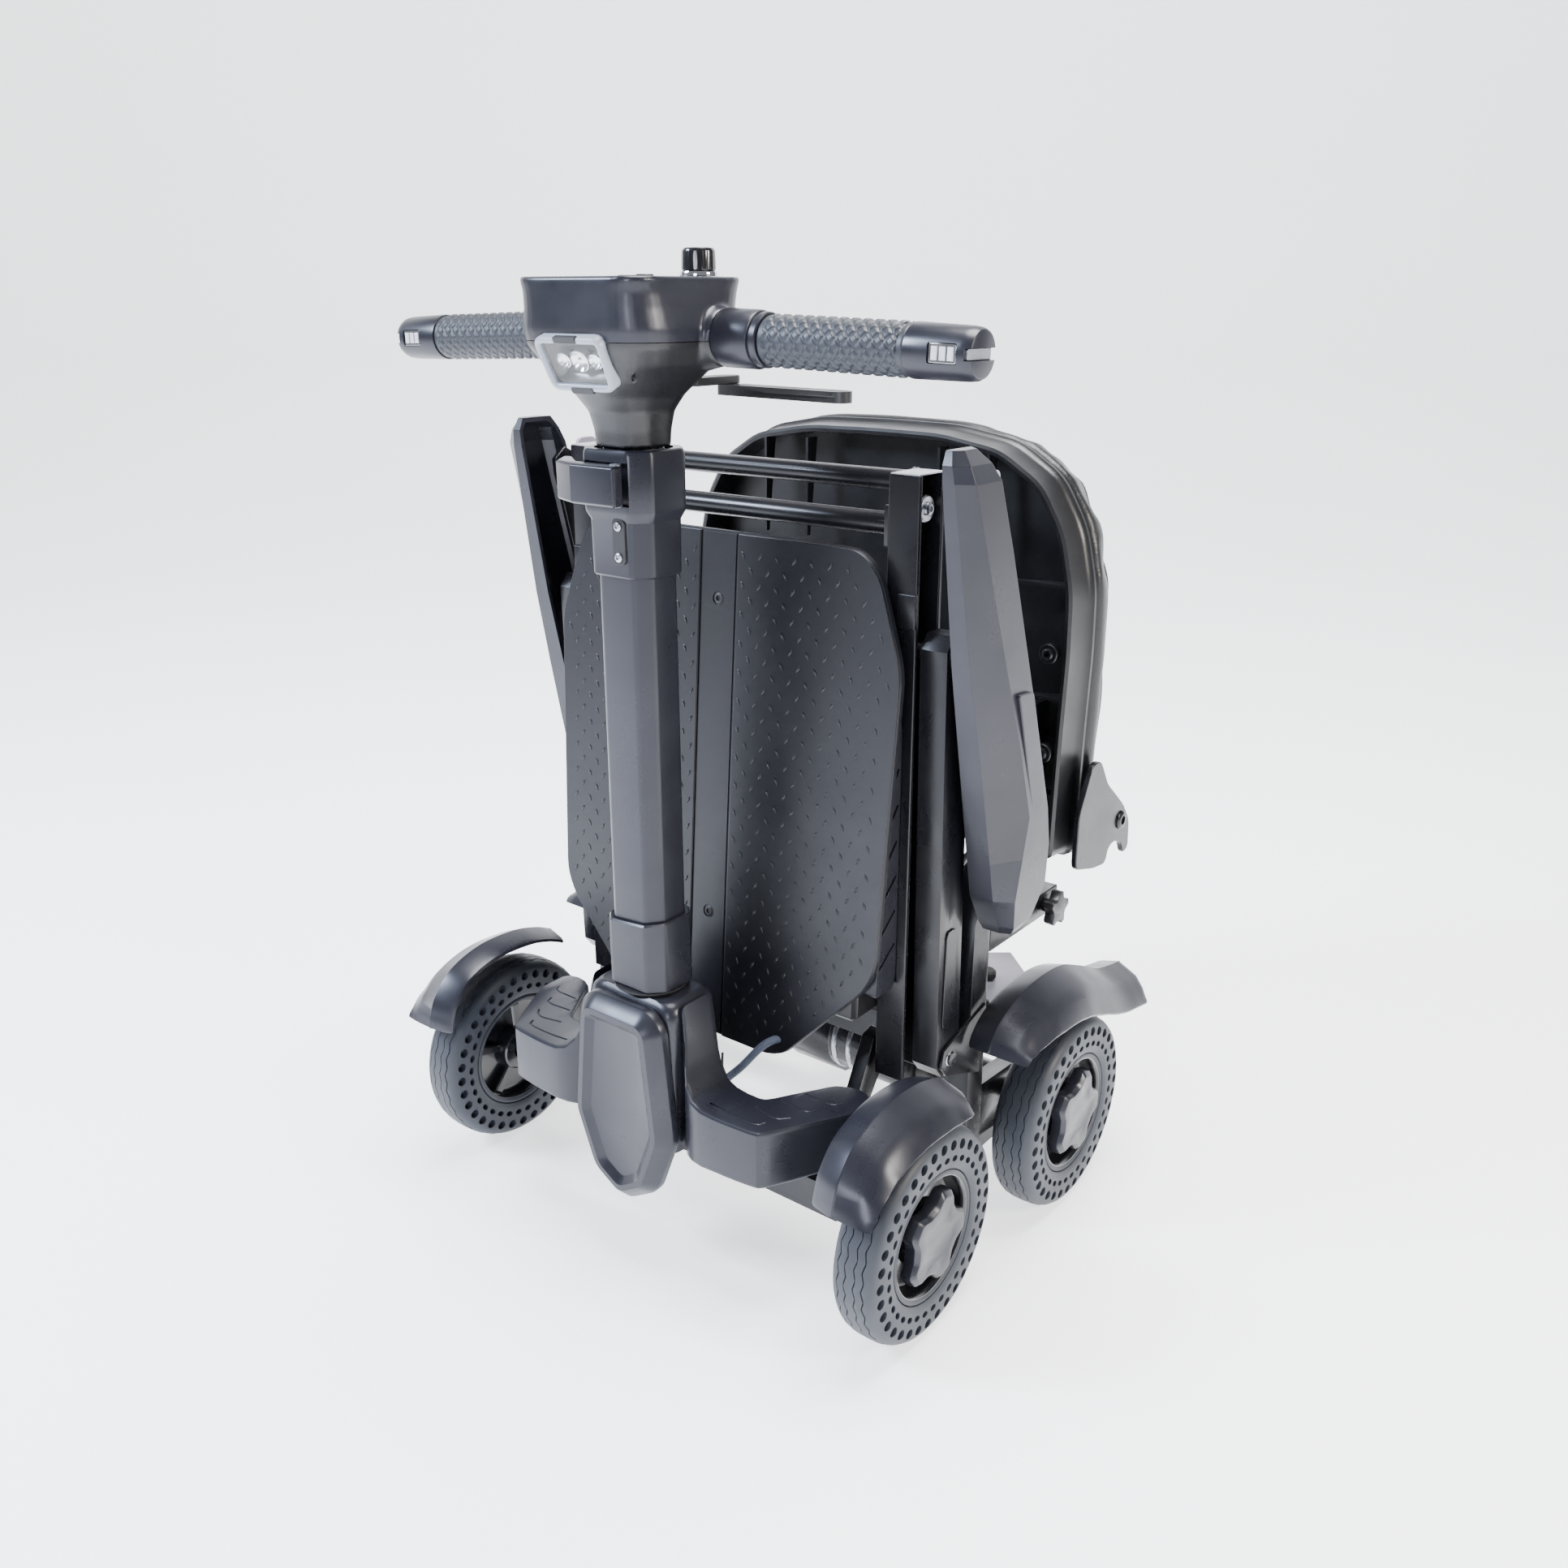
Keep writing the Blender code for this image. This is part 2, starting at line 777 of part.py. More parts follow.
def build_cam_lever(column):
    x, y = 0.016, COLUMN_Y - 0.0405
    pivot = empty("cam_lever_axis", x, y, 0.645, column)
    outline = [
        (0.022, y - 0.004),
        (0.022, y + 0.006),
        (0.012, y + 0.0095),
        (-0.026, y + 0.0095),
        (-0.052, y + 0.030),
        (-0.058, y + 0.026),
        (-0.044, y + 0.006),
        (-0.020, y - 0.004),
    ]
    body = prism("z", outline, 0.631, 0.659)
    bevel(finish("cam_lever", body, "charcoal", pivot), 0.0015)


# Mast: the inner tube that slides in the column and carries the console
def build_mast(column):
    pivot = empty("mast_axis", 0, COLUMN_Y, 0.600, column)
    mast = pipe(
        octagon(0.0215, 0.0175, 0.0082, COLUMN_Y),
        octagon(0.0190, 0.0150, 0.0072, COLUMN_Y),
        0.400,
        0.6680,
    )
    finish("inner_mast", mast, "steel", pivot)
    build_console(pivot)
    build_handlebar(pivot)
    for name, side in SIDES:
        build_grip(name, side, pivot)
    build_throttle(pivot)
    build_speed_knob(pivot)
    return pivot


def rounded(half_x, front, back, corner):
    """A rounded outline in plan from its half width and its front and back."""
    points = []
    for cx, cy, start in (
        (half_x - corner, back - corner, 0.0),
        (-half_x + corner, back - corner, 0.5),
        (-half_x + corner, front + corner, 1.0),
        (half_x - corner, front + corner, 1.5),
    ):
        for step in range(4):
            angle = math.pi * (start + step / 6)
            points.append((cx + corner * math.cos(angle), cy + corner * math.sin(angle)))
    return points


def build_console(pivot):
    lower = loft(
        "z",
        [
            (rounded(0.0245, -0.064, -0.018, 0.012), 0.6685),
            (rounded(0.0280, -0.069, -0.013, 0.014), 0.6900),
            (rounded(0.0400, -0.082, -0.003, 0.018), 0.7080),
            (rounded(0.0560, -0.091, 0.010, 0.022), 0.7240),
            (rounded(0.0640, -0.097, 0.017, 0.026), 0.7370),
        ],
    )
    finish("console_lower", lower, "black_plastic", pivot, smooth=True)
    upper = loft(
        "z",
        [
            (rounded(0.0645, -0.0975, 0.0175, 0.026), 0.7370 + GAP),
            (rounded(0.0650, -0.0990, 0.018, 0.026), 0.7480),
            (rounded(0.0620, -0.0980, 0.019, 0.026), 0.7640),
            (rounded(0.0600, -0.0980, 0.021, 0.026), 0.7800),
            (rounded(0.0540, -0.0920, 0.015, 0.020), 0.7800 + 0.0015),
        ],
    )
    shell = finish("console_upper", upper, "charcoal", pivot, smooth=True)
    lamp = loft("z", [(lamp_plan(0.0), 0.7060), (lamp_plan(0.0175), 0.7470)])
    finish("headlight", lamp, "lens", pivot)
    pocket = loft("z", [(lamp_plan(-GAP, 0.0005), 0.7055), (lamp_plan(0.0175, 0.0005), 0.7475)])
    room = helper("headlight_room", pocket, pivot)
    combine(shell, [room], "DIFFERENCE")
    combine(bpy.data.objects["console_lower"], [room], "DIFFERENCE")
    bore = helper("bar_room", handlebar_shape(0.110, BAR_R + GAP), pivot)
    combine(shell, [bore], "DIFFERENCE")
    combine(bpy.data.objects["console_lower"], [bore], "DIFFERENCE")


def lamp_plan(lean, room=0.0):
    """The headlight in plan: it leans forwards by this much, in a pocket with some room."""
    front, back = -0.0865 - lean, -0.0740 - lean
    half = 0.0300 + room
    return [
        (-half, back + room),
        (-half, front + 0.004),
        (-half + 0.004, front - room),
        (half - 0.004, front - room),
        (half, front + 0.004),
        (half, back + room),
    ]


def handlebar_shape(reach, radius, count=20):
    """A round bar across the console that droops towards both its ends."""
    bm = bmesh.new()
    rings = []
    for station in (-reach, 0.0, reach):
        drop = abs(station) * math.tan(BAR_DROOP)
        outline = circle(BAR_Y, BAR_Z - drop, radius, count)
        rings.append([bm.verts.new((station, y, z)) for y, z in outline])
    bridge(bm, rings)
    bm.faces.new(rings[0])
    bm.faces.new(rings[-1])
    return bm


def build_handlebar(pivot):
    finish("handlebar", handlebar_shape(0.105, BAR_R), "black_plastic", pivot, smooth=True)


def build_grip(name, side, pivot):
    grip = stepped(
        side,
        [
            (0.1053, 0.0150),
            (0.1070, GRIP_R),
            (0.2220, GRIP_R),
            (0.2225, 0.0168),
            (0.2670, 0.0158),
            (0.2700, 0.0145),
        ],
    )
    finish("grip_" + name, grip, "tyre_rubber", pivot, smooth=True)


def stepped(side, stations, count=20):
    """A turned piece on the handlebar from (distance, radius) stations."""
    bm = bmesh.new()
    rings = []
    for x, radius in stations:
        outline = circle(BAR_Y, BAR_Z - x * math.tan(BAR_DROOP), radius, count)
        rings.append([bm.verts.new((x, y, z)) for y, z in outline])
    bridge(bm, rings)
    bm.faces.new(rings[0])
    bm.faces.new(rings[-1])
    return mirrored(bm, side)


def build_throttle(mast):
    pivot = empty("throttle_axis", 0.030, 0.030, 0.706, mast)
    outline = [
        (0.022, 0.024),
        (0.034, 0.022),
        (0.142, 0.006),
        (0.149, 0.010),
        (0.149, 0.018),
        (0.142, 0.024),
        (0.034, 0.040),
        (0.022, 0.036),
    ]
    body = prism("z", outline, 0.7015, 0.7085)
    bevel(finish("throttle_lever", body, "black_plastic", pivot), 0.0012)


def build_speed_knob(mast):
    x, y, z = 0.034, -0.006, 0.7818
    pivot = empty("speed_knob_axis", x, y, z, mast)
    knob = loft(
        "z",
        [
            (circle(x, y, 0.0135, 16), z + GAP),
            (circle(x, y, 0.0135, 16), z + 0.003),
            (circle(x, y, 0.0118, 16), z + 0.0035),
            (circle(x, y, 0.0114, 16), z + 0.0170),
            (circle(x, y, 0.0100, 16), z + 0.0190),
        ],
    )
    finish("speed_knob", knob, "rim_black", pivot, smooth=True)


# Side links: flat bars on the seat pivot, each behind a long faceted cover
def build_links(root):
    sy, sz = SEAT_PIVOT
    ty, tz = LINK_TOP
    pivot = empty("link_axis", 0, sy, sz, root)
    link_line = [
        (sy - 0.012, sz - 0.006),
        (sy, sz - 0.014),
        (sy + 0.012, sz - 0.004),
        (sy + 0.011, sz + 0.008),
        (ty + 0.011, tz + 0.008),
        (ty, tz + 0.014),
        (ty - 0.012, tz + 0.004),
        (ty - 0.011, tz - 0.008),
    ]
    cover = [
        (0.036, 0.668),
        (0.074, 0.672),
        (0.090, 0.650),
        (0.166, 0.392),
        (0.172, 0.340),
        (0.152, 0.292),
        (0.124, 0.290),
        (0.104, 0.318),
        (0.060, 0.520),
    ]
    face = inset(cover, 0.013)
    for name, side in SIDES:
        bar_body = finish(
            "side_link_" + name,
            mirrored(prism("x", link_line, *LINK_X), side),
            "frame_black",
            pivot,
        )
        pin = helper(
            "link_pin_" + name,
            mirrored(bar("x", sy, sz, PIN_R, 0.1630, 0.2050, 12), side),
            pivot,
        )
        combine(bar_body, [pin], "UNION")
        hollow = inset(cover, 0.004)
        shell = shell_body(cover, face, hollow)
        finish("side_cover_" + name, mirrored(shell, side), "charcoal", pivot)
    return pivot


def shell_body(edge, face, hollow):
    """A cover with a bevelled outer face, hollowed from its inner side."""
    inner, outer = COVER_X
    stations = (
        (hollow, outer - 0.014),
        (hollow, inner),
        (edge, inner),
        (edge, outer - 0.011),
        (face, outer),
    )
    bm = bmesh.new()
    rings = []
    for outline, x in stations:
        rings.append([bm.verts.new((x, y, z)) for y, z in outline])
    bridge(bm, rings)
    bm.faces.new(rings[0])
    bm.faces.new(rings[-1])
    return bm


# Seat: ribbed pan, cushion and the arms that hang on the seat pivot
def seat_outline(scale, lift):
    """Outline of the seat in X and Z, with its rounded front edge upwards."""
    half = [
        (0.000, 0.662),
        (0.070, 0.660),
        (0.125, 0.645),
        (0.164, 0.615),
        (0.188, 0.568),
        (0.198, 0.510),
        (0.198, 0.420),
        (0.202, 0.330),
        (0.196, 0.298),
    ]
    middle = 0.480
    right = [(x * scale, middle + (z - middle) * scale + lift) for x, z in half]
    left = [(-x, z) for x, z in reversed(right[1:])]
    return right + left


def build_seat(root):
    sy, sz = SEAT_PIVOT
    pivot = empty("seat_axis", 0, sy, sz, root)
    pan = dish("y", seat_outline(1.0, 0.0), *SEAT_PAN_Y, 0.006, 0.005)
    pan = finish("seat_pan", pan, "black_plastic", pivot)
    by, bz = BACK_HINGE
    ear = [
        (0.262, 0.300),
        (by - 0.004, bz - 0.018),
        (by + 0.010, bz - 0.008),
        (by + 0.011, bz + 0.008),
        (by - 0.004, bz + 0.018),
        (0.300, 0.372),
        (0.262, 0.372),
    ]
    for name, side in SIDES:
        plate = mirrored(prism("x", ear, 0.2160, 0.2210), side)
        block = mirrored(prism("x", rectangle(0.262, 0.286, 0.302, 0.360), 0.1980, 0.2170), side)
        parts = [helper("ear_plate_" + name, plate, pivot), helper("ear_block_" + name, block, pivot)]
        combine(pan, parts, "UNION")
    low, high = CUSHION_Y
    cushion = loft(
        "y",
        [
            (seat_outline(1.00, 0.0), low),
            (seat_outline(1.05, 0.003), low + 0.010),
            (seat_outline(1.06, 0.004), low + 0.024),
            (seat_outline(1.04, 0.003), low + 0.040),
            (seat_outline(0.93, 0.000), high),
        ],
    )
    finish("seat_cushion", cushion, "vinyl", pivot, smooth=True)
    for name, side in SIDES:
        arm = [
            (sy - 0.013, sz - 0.008),
            (sy, sz - 0.015),
            (sy + 0.014, sz - 0.010),
            (0.284, 0.318),
            (0.284, 0.440),
            (0.256, 0.440),
            (sy + 0.004, sz + 0.016),
            (sy - 0.011, sz + 0.010),
        ]
        body = finish(
            "seat_arm_" + name,
            mirrored(prism("x", arm, 0.1660, 0.1740), side),
            "frame_black",
            pivot,
        )
        hole = helper(
            "arm_hole_" + name,
            mirrored(bar("x", sy, sz, PIN_R + GAP, 0.15, 0.18, 12), side),
            pivot,
        )
        combine(body, [hole], "DIFFERENCE")
    return pivot


def build_backrest(seat):
    by, bz = BACK_HINGE
    pivot = empty("backrest_axis", 0, by, bz, seat)
    half = [
        (0.000, 0.648),
        (0.070, 0.645),
        (0.125, 0.626),
        (0.156, 0.590),
        (0.172, 0.520),
        (0.178, 0.420),
        (0.172, 0.335),
        (0.150, 0.314),
    ]
    outline = half + [(-x, z) for x, z in reversed(half[1:])]
    low, high = BACK_SHELL_Y
    shell = loft("y", [(outline, low), (outline, high - 0.004), (inset(outline, 0.006), high)])
    shell = finish("backrest_shell", shell, "charcoal", pivot)
    tube = helper("back_tube", bar("x", by, bz, 0.0075, -0.2155, 0.2155, 12), pivot)
    foot = prism("y", rectangle(-0.120, 0.120, bz - 0.005, bz + 0.006), by + 0.001, low + 0.003)
    combine(shell, [tube, helper("back_foot", foot, pivot)], "UNION")
    low, high = BACK_CUSHION_Y
    pad = [(x, max(z, 0.338)) for x, z in outline]
    slim = inset(pad, 0.010)
    cushion = loft(
        "y",
        [(slim, low), (inset(pad, 0.002), low + 0.008), (pad, high - 0.008), (slim, high)],
    )
    finish("backrest_cushion", cushion, "vinyl", pivot, smooth=True)


def build_cable(front):
    """The lead from the steering head to the deck, hanging in the gap between them."""
    points = [
        (0.062, -0.016, 0.140),
        (0.070, 0.004, 0.136),
        (0.078, 0.022, 0.142),
        (0.082, 0.034, 0.158),
    ]
    curve = bpy.data.curves.new("front_cable", "CURVE")
    curve.dimensions = "3D"
    curve.bevel_depth = 0.0032
    curve.bevel_resolution = 2
    curve.use_fill_caps = True
    spline = curve.splines.new("POLY")
    spline.points.add(len(points) - 1)
    for point, place in zip(spline.points, points):
        point.co = (*(Vector(place) - Vector(front["at"])), 1.0)
    curve.materials.append(material("front_cable", "cable_blue"))
    made = bpy.data.objects.new("front_cable", curve)
    bpy.context.collection.objects.link(made)
    made.parent = front


def main():
    clear_scene()
    root = empty("scooter", 0, 0, 0, None)
    root.location.y = ORIGIN_Y
    build_rear_chassis(root)
    build_star_knob(root)
    for name, side in SIDES:
        axis = empty("rear_wheel_axis_" + name, REAR_WHEEL_X * side, REAR_AXLE_Y, WHEEL_R, root)
        build_wheel("rear_" + name, side, REAR_WHEEL_X, REAR_AXLE_Y, axis)
    legs = build_legs(root)
    floor = build_floor(legs)
    front = build_front_chassis(floor)
    head = build_head(front)
    column = build_column(head)
    build_mast(column)
    build_links(root)
    seat = build_seat(root)
    build_backrest(seat)
    build_cable(front)


main()
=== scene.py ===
"""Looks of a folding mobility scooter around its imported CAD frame.

Drawn in the scooter's own measures: front axle at Y = 0, ground at Z = 0, middle plane
at X = 0. SHIFT moves them to the frame's origin.
"""

import json
import math

import bmesh
import bpy
import numpy as np
from mathutils import Matrix, Vector


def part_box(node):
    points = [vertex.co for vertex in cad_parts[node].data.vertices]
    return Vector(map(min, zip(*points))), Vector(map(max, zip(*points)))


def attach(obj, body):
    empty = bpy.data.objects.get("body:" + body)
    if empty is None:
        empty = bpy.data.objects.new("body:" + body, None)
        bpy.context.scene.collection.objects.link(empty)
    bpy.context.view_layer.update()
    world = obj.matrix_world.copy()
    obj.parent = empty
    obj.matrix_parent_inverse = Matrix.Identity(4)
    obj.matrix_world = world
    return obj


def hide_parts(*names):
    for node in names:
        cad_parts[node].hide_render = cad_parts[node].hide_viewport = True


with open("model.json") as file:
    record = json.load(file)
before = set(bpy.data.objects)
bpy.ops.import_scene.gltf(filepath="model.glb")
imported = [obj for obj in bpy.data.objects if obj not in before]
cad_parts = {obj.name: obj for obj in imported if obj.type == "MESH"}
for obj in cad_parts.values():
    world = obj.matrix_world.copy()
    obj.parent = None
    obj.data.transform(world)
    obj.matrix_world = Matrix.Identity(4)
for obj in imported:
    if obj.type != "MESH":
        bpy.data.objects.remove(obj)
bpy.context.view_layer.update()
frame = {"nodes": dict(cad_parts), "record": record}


def mm(value):
    """Millimetres to metres, through any nest of lists and tuples."""
    return type(value)(map(mm, value)) if isinstance(value, (list, tuple)) else value / 1000


# The bodies and slots of the frame's nodes, and the scooter's own measures
BODY = {n: b for b, ns in frame["record"]["behaviour"]["bodies"].items() for n in ns}
SLOT = {row["node"]: row["material_slot"] for row in frame["record"]["subparts"]}
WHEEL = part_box("front_right_tyre")
SHIFT = Vector((0, (WHEEL[0].y + WHEEL[1].y) / 2, 0))
SIDES = (("right", 1), ("left", -1))
TAU = 2 * math.pi
MERGE = 2e-6  # points of a CAD solid this close are one
COLUMN_Y = -0.041  # the column's middle line
SEAT_MID = 0.48  # the height about which the folded seat is scaled
REPLACED = set()


# ---- materials
def noise(tree, coord, scale, detail, stretch=None):
    """A noise value over the surface, with its space stretched if asked."""
    source = coord
    if stretch:
        mapping = tree.nodes.new("ShaderNodeMapping")
        mapping.inputs["Scale"].default_value = stretch
        tree.links.new(coord, mapping.inputs["Vector"])
        source = mapping.outputs["Vector"]
    node = tree.nodes.new("ShaderNodeTexNoise")
    node.inputs["Scale"].default_value = scale
    node.inputs["Detail"].default_value = detail
    tree.links.new(source, node.inputs["Vector"])
    return node.outputs["Fac"]


def remap(tree, value, low, high, to_low, to_high):
    node = tree.nodes.new("ShaderNodeMapRange")
    for key, number in (("From Min", low), ("From Max", high), ("To Min", to_low), ("To Max", to_high)):
        node.inputs[key].default_value = number
    tree.links.new(value, node.inputs["Value"])
    return node.outputs["Result"]


def blend_colour(tree, factor, first, second):
    node = tree.nodes.new("ShaderNodeMix")
    node.data_type = "RGBA"
    for socket, value in ((node.inputs[6], first), (node.inputs[7], second)):
        if isinstance(value, tuple):
            socket.default_value = (*value, 1.0)
        else:
            tree.links.new(value, socket)
    tree.links.new(factor, node.inputs[0])
    return node.outputs[2]


def surface(name, colour, rough, metallic=0.0, mottle=0.18, patch=9.0, grain=1400.0, bump=0.12, depth=0.0002,
        wear=0.0, worn=(0.2, 0.2, 0.21), cells=0.0, coat=0.0, streak=(1, 1, 9)):
    """A procedural finish: patches of tone, fine grain, and scuffs where wear is set."""
    made = bpy.data.materials.new(name)
    made.use_nodes = True
    tree = made.node_tree
    shade = tree.nodes["Principled BSDF"]
    shade.inputs["Metallic"].default_value = metallic
    shade.inputs["Coat Weight"].default_value = coat
    shade.inputs["Coat Roughness"].default_value = 0.25
    coord = tree.nodes.new("ShaderNodeTexCoord").outputs["Object"]
    big = noise(tree, coord, patch, 5.0)
    dark = tuple(c * (1 - mottle) for c in colour)
    light = tuple(c * (1 + mottle) for c in colour)
    tone = blend_colour(tree, remap(tree, big, 0.3, 0.7, 0, 1), dark, light)
    speck = noise(tree, coord, grain * 0.5, 1.0)
    tone = blend_colour(tree, remap(tree, speck, 0.62, 0.78, 0, 0.3), tone, light)
    roughness = remap(tree, noise(tree, coord, patch * 3, 4.0), 0.3, 0.7, rough - 0.05, rough + 0.07)
    if wear:
        scratch = noise(tree, coord, 16.0, 6.0, streak)
        mark = remap(tree, scratch, 0.64, 0.72, 0, wear)
        tone = blend_colour(tree, mark, tone, worn)
    tree.links.new(tone, shade.inputs["Base Color"])
    tree.links.new(roughness, shade.inputs["Roughness"])
    height = noise(tree, coord, grain, 2.0)
    if cells:
        cell = tree.nodes.new("ShaderNodeTexVoronoi")
        cell.feature = "SMOOTH_F1"
        cell.inputs["Scale"].default_value = cells
        tree.links.new(coord, cell.inputs["Vector"])
        height = cell.outputs["Distance"]
    rise = tree.nodes.new("ShaderNodeBump")
    rise.inputs["Strength"].default_value = bump
    rise.inputs["Distance"].default_value = depth
    tree.links.new(height, rise.inputs["Height"])
    tree.links.new(rise.outputs["Normal"], shade.inputs["Normal"])
    return made


def clear_finish(name, colour, rough, transmission, alpha=1.0):
    made = surface(name, colour, rough, mottle=0.05, grain=300.0, bump=0.03)
    shade = made.node_tree.nodes["Principled BSDF"]
    shade.inputs["Transmission Weight"].default_value = transmission
    shade.inputs["IOR"].default_value = 1.45
    shade.inputs["Alpha"].default_value = alpha
    return made


MAT = {
    "charcoal_plastic": surface("satin_charcoal", (0.017, 0.0175, 0.025), 0.3, 0.3, wear=0.008),
    "black_plastic": surface("grained_black", (0.0055, 0.0055, 0.007), 0.36, cells=900.0, bump=0.22,
        depth=0.0003),
    "frame_black": surface("powder_coat", (0.0065, 0.0065, 0.009), 0.28, 0.2, grain=900.0, bump=0.2,
        wear=0.015),
    "tyre_rubber": surface("tyre_rubber", (0.02, 0.024, 0.034), 0.52, grain=1100.0, bump=0.25, wear=0.1,
        worn=(0.13, 0.13, 0.14), streak=(3, 3, 3)),
    "rim_black": surface("gloss_black", (0.005, 0.005, 0.007), 0.16, grain=500.0, bump=0.04, coat=0.5),
    "grip_rubber": surface("grip_rubber", (0.015, 0.018, 0.025), 0.46, grain=1500.0, bump=0.2),
    "deck_grey": surface("deck_paint", (0.009, 0.0095, 0.0135), 0.33, 0.3, patch=5.0, grain=1800.0, bump=0.3,
        wear=0.012),
    "vinyl_black": surface("vinyl", (0.006, 0.0064, 0.008), 0.38, cells=620.0, bump=0.35, depth=0.0004),
    "steel": surface("zinc_steel", (0.42, 0.43, 0.46), 0.28, 1.0, mottle=0.2, patch=60.0, grain=700.0,
        bump=0.08),
    "plate_grey": surface("plate_grey", (0.34, 0.32, 0.39), 0.38, 0.2, wear=0.2, worn=(0.2, 0.2, 0.22)),
    "cable_sleeve": surface("braid", (0.09, 0.11, 0.16), 0.6, cells=1100.0, bump=0.8, depth=0.0006),
    "lamp_lens": clear_finish("lamp_glass", (0.93, 0.95, 1.0), 0.05, 1.0, 0.14),
    "frost": clear_finish("frosted_bezel", (0.46, 0.49, 0.57), 0.3, 0.35),
    "chrome": surface("reflector_chrome", (0.88, 0.89, 0.92), 0.08, 1.0, mottle=0.04, patch=40.0, bump=0.02),
    "led": surface("led_lens", (0.8, 0.78, 0.86), 0.18, 0.3, mottle=0.2, patch=160.0, bump=0.1, coat=0.4),
    "soft_black": surface("soft_black", (0.01, 0.01, 0.012), 0.55, grain=800.0, bump=0.2),
}


# ---- mesh tools
def along(axis, a, b, c):
    """A point from two coordinates across an axis and one along it."""
    return {"x": (c, a, b), "y": (a, c, b), "z": (a, b, c)}[axis]


def fillet(points, radius, steps=4):
    """Rounds each corner of an outline: the cut along each side is the radius given."""
    count = len(points)
    made = []
    for i, corner in enumerate(points):
        here = Vector(corner)
        before = Vector(points[i - 1]) - here
        after = Vector(points[(i + 1) % count]) - here
        cut = min(radius, 0.48 * before.length, 0.48 * after.length)
        start = here + before.normalized() * cut
        end = here + after.normalized() * cut
        for k in range(steps + 1):
            t = k / steps
            made.append(tuple(start * (1 - t) ** 2 + here * 2 * t * (1 - t) + end * t * t))
    return made


def inset(outline, distance):
    """An outline moved inwards, or outwards where the distance is negative."""
    count = len(outline)
    area = sum(outline[i - 1][0] * outline[i][1] - outline[i][0] * outline[i - 1][1] for i in range(count))
    turn = 1.0 if area > 0 else -1.0
    moved = []
    for i in range(count):
        before = Vector(outline[i]) - Vector(outline[i - 1])
        after = Vector(outline[(i + 1) % count]) - Vector(outline[i])
        first = Vector((-before.y, before.x)).normalized() * turn
        second = Vector((-after.y, after.x)).normalized() * turn
        shift = (first + second) / max(0.2, 1.0 + first.dot(second))
        moved.append(tuple(Vector(outline[i]) + shift * distance))
    return moved


def circle(a, b, radius, count=32, turn=0.0):
    return [(a + radius * math.cos(turn + TAU * i / count), b + radius * math.sin(turn + TAU * i / count))
        for i in range(count)]


def rectangle(a0, a1, b0, b1):
    return [(a0, b0), (a1, b0), (a1, b1), (a0, b1)]


def round_rect(a0, a1, b0, b1, radius, steps=4):
    """A rectangle with round corners."""
    return fillet(rectangle(a0, a1, b0, b1), radius, steps)


def bridge(bm, rings):
    for near, far in zip(rings, rings[1:]):
        count = len(near)
        for i in range(count):
            j = (i + 1) % count
            bm.faces.new((near[i], near[j], far[j], far[i]))


def tube_of(rings, closed=False):
    """A body through rings of points: capped at both ends, or joined end to end."""
    bm = bmesh.new()
    loops = [[bm.verts.new(p) for p in ring] for ring in rings]
    bridge(bm, loops + ([loops[0]] if closed else []))
    if not closed:
        bm.faces.new(loops[0])
        bm.faces.new(loops[-1])
    return bm


def loft(axis, sections):
    return tube_of([[along(axis, a, b, s) for a, b in outline] for outline, s in sections])


def prism(axis, outline, low, high):
    return loft(axis, [(outline, low), (outline, high)])


def spindle(axis, profile, count, a=0.0, b=0.0):
    """A solid turned body from rows of (station, radius)."""
    return loft(axis, [(circle(a, b, r, count), s) for s, r in profile])


def rod(axis, a, b, radius, low, high, chamfer=0.0008, count=28):
    """A turned rod with a chamfer at both ends."""
    stations = ((low, radius - chamfer), (low + chamfer, radius), (high - chamfer, radius),
        (high, radius - chamfer))
    return spindle(axis, stations, count, a, b)


def lathe(axis, profile, a, b, count=64):
    """A ring turned about an axis from a closed loop of (station, radius)."""
    rings = []
    for i in range(count):
        angle = TAU * i / count
        rings.append([along(axis, a + r * math.cos(angle), b + r * math.sin(angle), s) for s, r in profile])
    return tube_of(rings, closed=True)


def joined(*parts):
    """Several separate bodies kept in one mesh."""
    made = bmesh.new()
    for part in parts:
        mesh = bpy.data.meshes.new("join")
        part.to_mesh(mesh)
        part.free()
        made.from_mesh(mesh)
        bpy.data.meshes.remove(mesh)
    return made


def turned(bm, matrix):
    bmesh.ops.transform(bm, matrix=matrix, verts=bm.verts)
    return bm


def flip(bm, side):
    """A body drawn on the right, mirrored where the side is left."""
    return turned(bm, Matrix.Diagonal((-1, 1, 1, 1))) if side < 0 else bm


def smooth_line(points, steps):
    """Points of a smooth curve through the given ones."""
    pts = [Vector(p) for p in points]
    ends = [2 * pts[0] - pts[1]] + pts + [2 * pts[-1] - pts[-2]]
    made = []
    for i in range(1, len(ends) - 2):
        a, b, c, d = ends[i - 1:i + 3]
        for k in range(steps):
            t = k / steps
            made.append(0.5 * ((2 * b) + (c - a) * t + (2 * a - 5 * b + 4 * c - d) * t * t
                + (3 * b - a - 3 * c + d) * t ** 3))
    made.append(pts[-1])
    return made


def sweep(points, radius, count=10):
    """A round tube along a line of points."""
    pts = [Vector(p) for p in points]
    rings = []
    up = Vector((0, 0, 1))
    for i, p in enumerate(pts):
        ahead = (pts[min(i + 1, len(pts) - 1)] - pts[max(i - 1, 0)]).normalized()
        if abs(ahead.dot(up)) > 0.95:
            up = Vector((0, 1, 0)) if abs(ahead.y) < 0.9 else Vector((1, 0, 0))
        across = ahead.cross(up).normalized()
        up = across.cross(ahead).normalized()
        rings.append([p + across * radius * math.cos(TAU * k / count)
            + up * radius * math.sin(TAU * k / count) for k in range(count)])
    return tube_of(rings)


